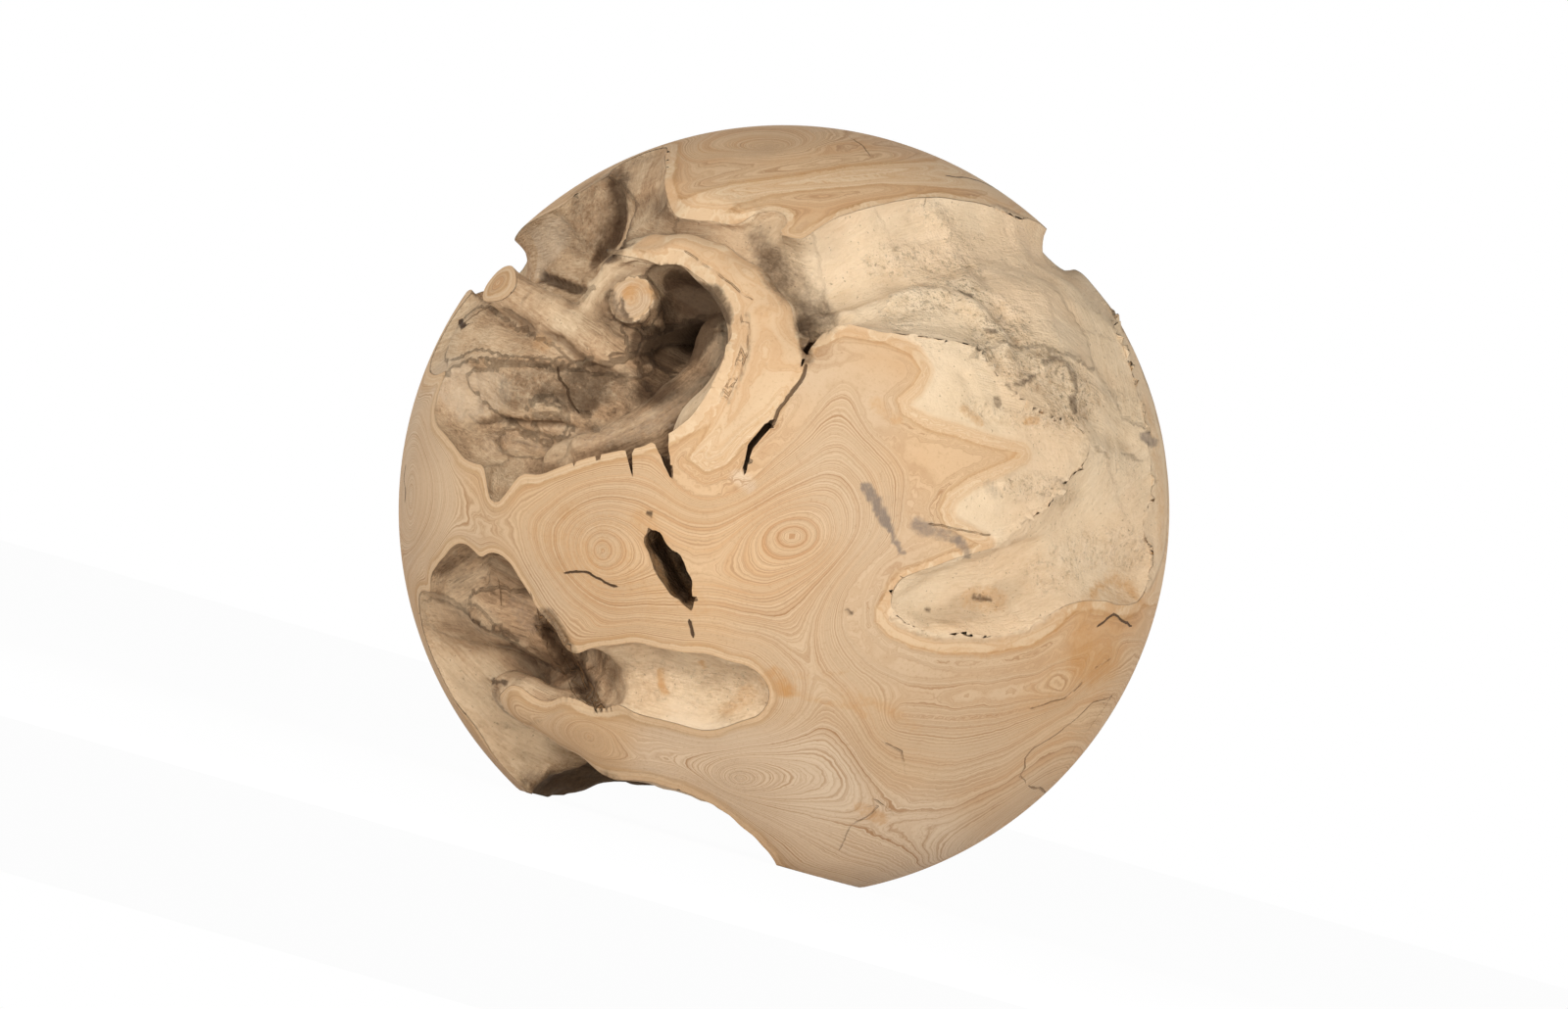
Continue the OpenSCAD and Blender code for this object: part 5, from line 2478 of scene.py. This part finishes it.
PITHS = (
    Pith(seen(8, -26), across=1.6),
    Pith(seen(-184, -41)),
    Pith(seen(-198, -230), across=1.2),
    Pith(seen(-45, -272), across=1.3),
    Pith(seen(-15, 371), across=1.6),
    Pith(heading(-75, 2), upward=1.3),
    Pith(heading(60, -30), across=1.5, offset=14),
    Pith(heading(112, 8)),
    Pith(heading(140, -22), across=1.3),
    Pith(heading(178, 20), upward=1.4),
    Pith(heading(-150, -12)),
    Pith(heading(-112, -2), upward=1.2),
    Pith(heading(160, 62), across=1.4),
    Pith(heading(-170, -48), across=1.3),
    Pith(heading(80, -52)),
)
SHEETS = (
    ((120, -207), (173, -211), (220, -207), (253, -199), (287, -192), (300, -179), (327, -152)),
)
MARKS = {
    StainAndShade.ORANGE: (
        Mark(((-200, -39), (-140, -34), (-80, -79)), 34, 50, 0.3),
        Mark(((-240, -14), (-180, -69), (-160, -99)), 24, 40, 0.25),
        Mark(((-14, -169), (1, -181)), 4, 14, 0.6),
        Mark(((-10, -161), (30, -169), (60, -163)), 1, 8, 0.4),
        Mark(((0, -182), (31, -193), (70, -199), (82, -210)), 1, 7, 0.5),
        Mark(((0, -176), (50, -183), (100, -199), (135, -224)), 2, 10, 0.35),
        Mark(((77, -303), (97, -313)), 5, 8, 0.6),
        Mark(((93, 109), (110, 95)), 5, 9, 0.5),
        Mark(((113, 89), (140, 81), (175, 74), (202, 61), (236, 56)), 2, 6, 0.4),
        Mark(((236, 56), (205, 43), (180, 31)), 1, 5, 0.4),
        Mark(((40, 165), (60, 172), (100, 168), (130, 155), (138, 142), (130, 125)), 1, 5, 0.45),
        Mark(((87, -106), (100, -126), (130, -138), (160, -145), (207, -145), (250, -137), (275, -122),
            (297, -99), (320, -76), (337, -69), (353, -79), (360, -92), (370, -97)), 1, 4, 0.45),
        Mark(((194, -89), (214, -90)), 9, 14, 0.6),
        Mark(((338, -85), (322, -115), (318, -147)), 18, 26, 0.5),
        Mark(((374, 111), (386, 51), (390, -49)), 4, 16, 0.55),
        Mark(((-247, 171), (-244, 169)), 7, 9, 0.5),
        Mark(((-124, -163), (-124, -173), (-118, -186)), 3, 4, 0.7),
        Mark(((-82, -154), (-81, -155)), 3, 4, 0.7),
        Mark(((-55, -201), (-35, -185)), 8, 12, 0.5),
        Mark(((248, 91), (260, 91)), 3, 5, 0.7),
        Mark(((185, 103), (198, 90)), 4, 6, 0.6),
        Mark(((-55, 331), (20, 341), (60, 348), (160, 358)), 2, 4, 0.5),
        Mark(((100, -169), (200, -179), (280, -149)), 22, 50, 0.28),
        Mark(((140, -269), (240, -239), (310, -179)), 24, 40, 0.25),
        Mark(((-160, 221), (-145, 231), (-132, 219)), 3, 7, 0.5),
        Mark(((16, 137), (3, 117), (-10, 97)), 4, 9, 0.45),
        Mark(((-142, -9), (-110, -71), (-86, -95)), 8, 9, 0.3),
        Mark(((-155, 218), (-154, 217)), 7, 5, 0.4),
        Mark(((-60, 261), (-25, 221), (-10, 171), (-20, 121)), 3, 10, 0.3),
        Mark(((-148, 218), (-138, 209)), 9, 9, 0.3),
    ),
    StainAndShade.GREY: (
        Mark(((84, 23), (102, -9)), 5, 4, 0.85),
        Mark(((102, -9), (120, -43)), 2.5, 3, 0.85),
        Mark(((108, 9), (125, -9), (138, -24)), 6, 12, 0.35),
        Mark(((136, -15), (155, -25), (172, -27)), 5, 6, 0.65),
        Mark(((179, -31), (185, -42)), 4, 5, 0.75),
        Mark(((-25, -89), (-5, -129)), 10, 18, 0.3),
        Mark(((95, -324), (110, -335)), 8, 12, 0.3),
        Mark(((72, -367), (86, -375)), 6, 8, 0.35),
        Mark(((368, 75), (376, 69)), 4, 5, 0.8),
        Mark(((206, 25), (216, 13)), 5, 7, 0.5),
        Mark(((-272, -93), (-258, -117)), 8, 8, 0.5),
        Mark(((60, 381), (160, 365), (240, 316)), 12, 16, 0.2),
    ),
    StainAndShade.DARK: (
        Mark(((-270, 121), (-240, 131), (-200, 123)), 14, 18, 0.6),
        Mark(((-200, 125), (-160, 129), (-128, 123)), 13, 20, 0.55),
        Mark(((-128, 123), (-100, 141), (-88, 161)), 12, 18, 0.5),
        Mark(((-240, 117), (-200, 103)), 6, 10, 0.5),
        Mark(((178, 221), (190, 215)), 1, 3, 0.8),
        Mark(((204, 185), (213, 180)), 1, 3, 0.8),
        Mark(((226, 126), (240, 129), (252, 135)), 2, 5, 0.75),
        # These four paint the shadow that the arched root casts to its right, and the dark gap beside it.
        Mark(((-40, 299), (-20, 271), (5, 236), (30, 206)), 16, 34, 0.38),
        Mark(((-28, 278), (-16, 257), (-4, 237)), 4, 16, 0.5),
        Mark(((18, 191), (22, 176), (24, 153)), 3, 10, 0.75),
        Mark(((26, 199), (50, 191)), 4, 18, 0.4),
        Mark(((262, 149), (275, 155), (285, 147), (292, 133), (294, 121)), 2, 5, 0.7),
        Mark(((266, 137), (278, 141)), 1, 5, 0.6),
        Mark(((290, 113), (296, 100)), 2, 3, 0.8),
        Mark(((216, 113), (219, 109)), 3, 4, 0.7),
        Mark(((315, 63), (328, 53)), 2, 4, 0.6),
        Mark(((344, 58), (362, 49)), 2, 4, 0.6),
        Mark(((242, 26), (270, 15), (296, 10)), 4, 8, 0.4),
        # These two paint the shade in the cup's right side and along its crease.
        Mark(((-198, 331), (-196, 307), (-208, 279)), 12, 30, 0.6),
        Mark(((-168, 337), (-166, 306), (-182, 265)), 5, 14, 0.75),
        # painted shadow under the stub root
        Mark(((-254, 242), (-228, 231), (-204, 223)), 3, 8, 0.75),
        Mark(((-176, 219), (-172, 201), (-160, 191)), 4, 7, 0.7),
        # These two paint the pit's black shade right of the knob.
        Mark(((-110, 231), (-75, 221), (-65, 203)), 10, 10, 0.9),
        Mark(((-110, 203), (-88, 186), (-110, 171), (-140, 169)), 14, 12, 0.9),
        Mark(((-244, -111), (-224, -141), (-208, -165), (-198, -181)), 9, 11, 0.72),
        Mark(((-297, -175), (-288, -176)), 3, 3, 0.9),
        # These two paint the shadow under the finger's tip and on the underside below it.
        Mark(((-292, -217), (-272, -222), (-250, -217)), 1, 10, 0.5),
        Mark(((-255, -279), (-220, -285), (-180, -279)), 8, 20, 0.6),
        Mark(((-37, 199), (-34, 171), (-44, 136), (-58, 110)), 1, 6, 0.55),
        Mark(((196, -88), (210, -90)), 3, 4, 0.85),
        Mark(((146, -99), (148, -100)), 2, 3, 0.8),
        Mark(((-137, -2), (-136, -5)), 2, 2, 0.9),
        Mark(((70, -103), (71, -104)), 1, 2, 0.9),
        Mark(((63, -100), (64, -101)), 1, 2, 0.9),
        # painted shadow under the arch, on its right
        Mark(((-10, 251), (10, 231), (36, 203)), 8, 18, 0.35),
        Mark(((-155, 366), (-140, 351)), 12, 20, 0.3),
        Mark(((-345, -54), (-320, -69), (-300, -79)), 8, 16, 0.25),
        Mark(((-128, -35), (-112, -63), (-100, -85)), 3, 9, 1),
        # painted shade deep in the pit
        Mark(((-100, 218), (-82, 193), (-94, 169), (-118, 157)), 11, 8, 1),
        Mark(((-164, 215), (-160, 201), (-154, 195)), 1, 3, 0.8),
        # painted shadow below the crease's ledge in the main hollow
        Mark(((-295, 80), (-240, 75), (-198, 81)), 5, 10, 0.35),
    ),
    StainAndShade.PALE: (
        Mark(((-338, 136), (-320, 116), (-298, 121)), 18, 14, 0.6),
        Mark(((-295, 66), (-240, 73), (-180, 74), (-110, 96)), 9, 11, 0.45),
        Mark(((-48, 35), (-34, 25)), 5, 4, 0.6),
        Mark(((-132, 217), (-110, 209), (-100, 191)), 4, 6, 0.3),
        Mark(((-234, 283), (-255, 259)), 12, 18, 0.7),
        Mark(((-120, -159), (-100, -179), (-60, -169)), 18, 20, 0.4),
        # These two lighten the lower part of the ball: painted light where the lamps leave it darker.
        Mark(((50, -324), (90, -344), (130, -349)), 34, 50, 0.75),
        Mark(((-100, -254), (-40, -274), (20, -279)), 34, 44, 0.75),
        Mark(((-370, 101), (-372, 41), (-360, -29)), 26, 34, 0.4),
    ),
    StainAndShade.CRUST: (
        Mark(((95, 249), (140, 253), (185, 236)), 10, 14, 0.6),
        Mark(((140, 306), (170, 286), (185, 246)), 8, 12, 0.45),
        Mark(((115, 196), (160, 216), (200, 211), (230, 186)), 12, 12, 0.7),
        Mark(((210, 176), (245, 151), (280, 136), (292, 106)), 18, 14, 0.9),
        Mark(((190, 106), (230, 93), (275, 93)), 6, 8, 0.5),
        Mark(((232, 21), (255, 25), (285, 16)), 8, 10, 0.6),
        Mark(((310, 61), (350, 41)), 5, 10, 0.4),
        Mark(((265, -64), (310, -39), (350, -39)), 14, 14, 0.5),
        Mark(((310, 116), (350, 109), (375, 91)), 5, 8, 0.35),
        Mark(((-265, 133), (-220, 121), (-178, 109)), 22, 16, 0.55),
        Mark(((-160, -169), (-100, -179), (-55, -179)), 14, 20, 0.35),
        Mark(((-138, -9), (-110, -54), (-86, -91)), 14, 8, 0.8),
    ),
}
STROKES = (
    Stroke(((-312, 93), (-280, 91), (-240, 87), (-188, 81)), 4, -3),
    Stroke(((-300, 69), (-240, 64), (-180, 71)), 14, 3),
    Stroke(((-338, 149), (-330, 121), (-322, 96)), 7, 1.8),
    Stroke(((-316, 146), (-308, 101)), 5, -1.5),
    Stroke(((-285, 203), (-255, 181), (-228, 175), (-200, 149), (-164, 133)), 6, -2),
    Stroke(((38, 191), (70, 196), (105, 208), (140, 219), (172, 218), (200, 199), (220, 176),
        (230, 141)), 12, 3.5),
    Stroke(((43, 205), (80, 218), (115, 233), (150, 245), (185, 248)), 14, -2),
    Stroke(((155, 296), (170, 276), (185, 236)), 12, 1.8),
    Stroke(((230, 127), (250, 133), (266, 149), (280, 151), (292, 136), (295, 111)), 10, 2.5),
    Stroke(((185, 136), (192, 109), (215, 89), (260, 85), (290, 93)), 10, -2),
    Stroke(((200, 236), (215, 201), (245, 171), (275, 159), (300, 136), (305, 96), (330, 71),
        (380, 59)), 12, -2),
    Stroke(((105, -82), (140, -59), (185, -41), (220, -27), (260, -19)), 12, 3),
    Stroke(((135, -111), (200, -94), (250, -69)), 20, -2.5),
    Stroke(((220, -4), (250, 9), (285, 21)), 9, -1.5),
    Stroke(((-178, 346), (-166, 316), (-166, 296), (-172, 276), (-195, 251)), 7, -4),
    Stroke(((-200, 234), (-178, 251), (-158, 266)), 8, 3),
    Stroke(((-255, 243), (-228, 231), (-203, 223)), 6, -4),
    Stroke(((-240, -119), (-215, -159), (-185, -204)), 9, -5),
    Stroke(((-255, -77), (-220, -129), (-188, -174)), 7, 3),
)
ROUNDINGS = (
    Rounding(((-145, 278), (-100, 281), (-52, 251), (-18, 211), (-2, 171), (-5, 126),
        (-22, 96)), 36, 22, 18, 7),
    Rounding(((-280, -199), (-240, -214), (-200, -229)), 26, 30, 14, 5),
)
SAPWOOD = (
    Sapwood(((23, 147), (36, 167), (60, 175), (100, 170), (128, 157), (138, 141), (130, 126), (114, 113),
        (118, 97), (145, 83), (175, 75), (205, 65), (238, 57), (212, 44), (185, 32), (165, 17), (157, 1),
        (164, -17), (200, -36), (162, -45), (130, -61), (105, -79), (93, -97), (92, -112), (105, -127),
        (130, -138), (160, -145), (207, -145), (250, -137), (275, -122), (297, -99), (320, -76), (337, -69),
        (353, -79), (360, -92), (372, -97), (415, -91), (462, -69), (446, -19), (482, 31), (458, 91),
        (490, 151), (462, 211), (440, 271), (350, 361), (200, 321), (30, 221)), lumpy=True),
    Sapwood(((-155, 284), (-120, 294), (-60, 280), (-10, 235), (15, 189), (22, 143), (6, 116), (-12, 91),
        (-38, 71), (-58, 47), (-78, 39), (-96, 53), (-75, 81), (-58, 136), (-52, 156), (-57, 191),
        (-100, 249), (-152, 271))),
    Sapwood(((-132, 313), (-100, 299), (-55, 309), (-15, 321), (100, 331), (200, 325), (230, 317),
        (262, 286), (210, 341), (160, 358), (60, 348), (20, 341), (-55, 330), (-100, 319), (-128, 325))),
)
LINES = (
    Line(((-244, -107), (-225, -134), (-208, -169), (-188, -201)), 0.5, 0.7),
    Line(((-238, -104), (-217, -134), (-200, -169), (-182, -201)), 0.4, 0.6),
    Line(((-252, -119), (-232, -151), (-212, -184), (-196, -205)), 0.4, 0.6),
    Line(((-229, -119), (-212, -147), (-198, -179)), 0.35, 0.6),
    Line(((-255, -84), (-247, -119), (-228, -155)), 0.4, 0.55),
    Line(((22, 145), (17, 129), (6, 116), (-3, 103), (-12, 87)), 0.9, 0.85),
    Line(((-100, 265), (-65, 241), (-35, 216)), 0.3, 0.3),
    Line(((-36, 191), (-38, 161), (-48, 133), (-62, 111)), 0.4, 0.4),
    Line(((-43, 197), (-43, 171), (-52, 137), (-66, 115)), 0.3, 0.4),
    Line(((253, -199), (287, -192), (300, -179), (310, -166), (327, -152)), 0.35, 0.55),
    Line(((333, -189), (313, -196), (300, -209), (280, -226), (253, -242), (245, -252), (245, -261),
        (240, -271), (250, -276)), 0.5, 0.66),
    Line(((333, -192), (317, -212), (300, -236), (287, -256)), 0.3, 0.45),
    Line(((253, -281), (263, -286)), 0.5, 0.7),
    Line(((100, -234), (118, -244), (122, -262)), 0.3, 0.35),
    Line(((57, -342), (67, -321), (87, -309), (97, -299)), 0.3, 0.2),
    Line(((-219, -63), (-200, -64), (-185, -70), (-172, -76)), 0.5, 0.95),
    Line(((-386, 44), (-388, 32), (-384, 22), (-386, 10)), 0.6, 0.95),
    Line(((149, -15), (183, -20), (205, -23)), 0.3, 0.45),
    Line(((68, 379), (78, 371), (85, 363)), 0.35, 0.6),
    Line(((320, -116), (333, -107), (350, -116)), 0.45, 0.9),
    Line(((93, -295), (107, -306)), 0.4, 0.4),
    Line(((-230, 144), (-227, 132), (-220, 124), (-218, 113), (-208, 102)), 0.55, 0.85),
    Line(((166, 340), (190, 338), (208, 332), (226, 324)), 0.6, 0.9),
    Line(((-326, 192), (-312, 203), (-300, 208)), 0.4, 0.7),
    Line(((-292, -69), (-287, -94)), 0.3, 0.5),
    Line(((-94, -112), (-91, -125)), 0.9, 0.95),
    Line(((-330, 192), (-327, 190)), 2, 1),
)


def main() -> None:
    """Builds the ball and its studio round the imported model."""
    logging.basicConfig(level=logging.INFO, format="%(name)s: %(message)s")
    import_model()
    clump = Clump()
    wood = Wood(clump)
    Studio(clump).build()
    figure = Figure(wood, piths=PITHS, sheets=SHEETS, marks=MARKS, lines=LINES, sapwood=SAPWOOD,
        strokes=STROKES, roundings=ROUNDINGS)
    ball = RootBall(wood, figure).build()
    ball.data.materials.append(RootWood().material())
    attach(ball, "root")
    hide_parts("root_ball")
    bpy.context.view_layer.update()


if __name__ == "__main__":
    main()
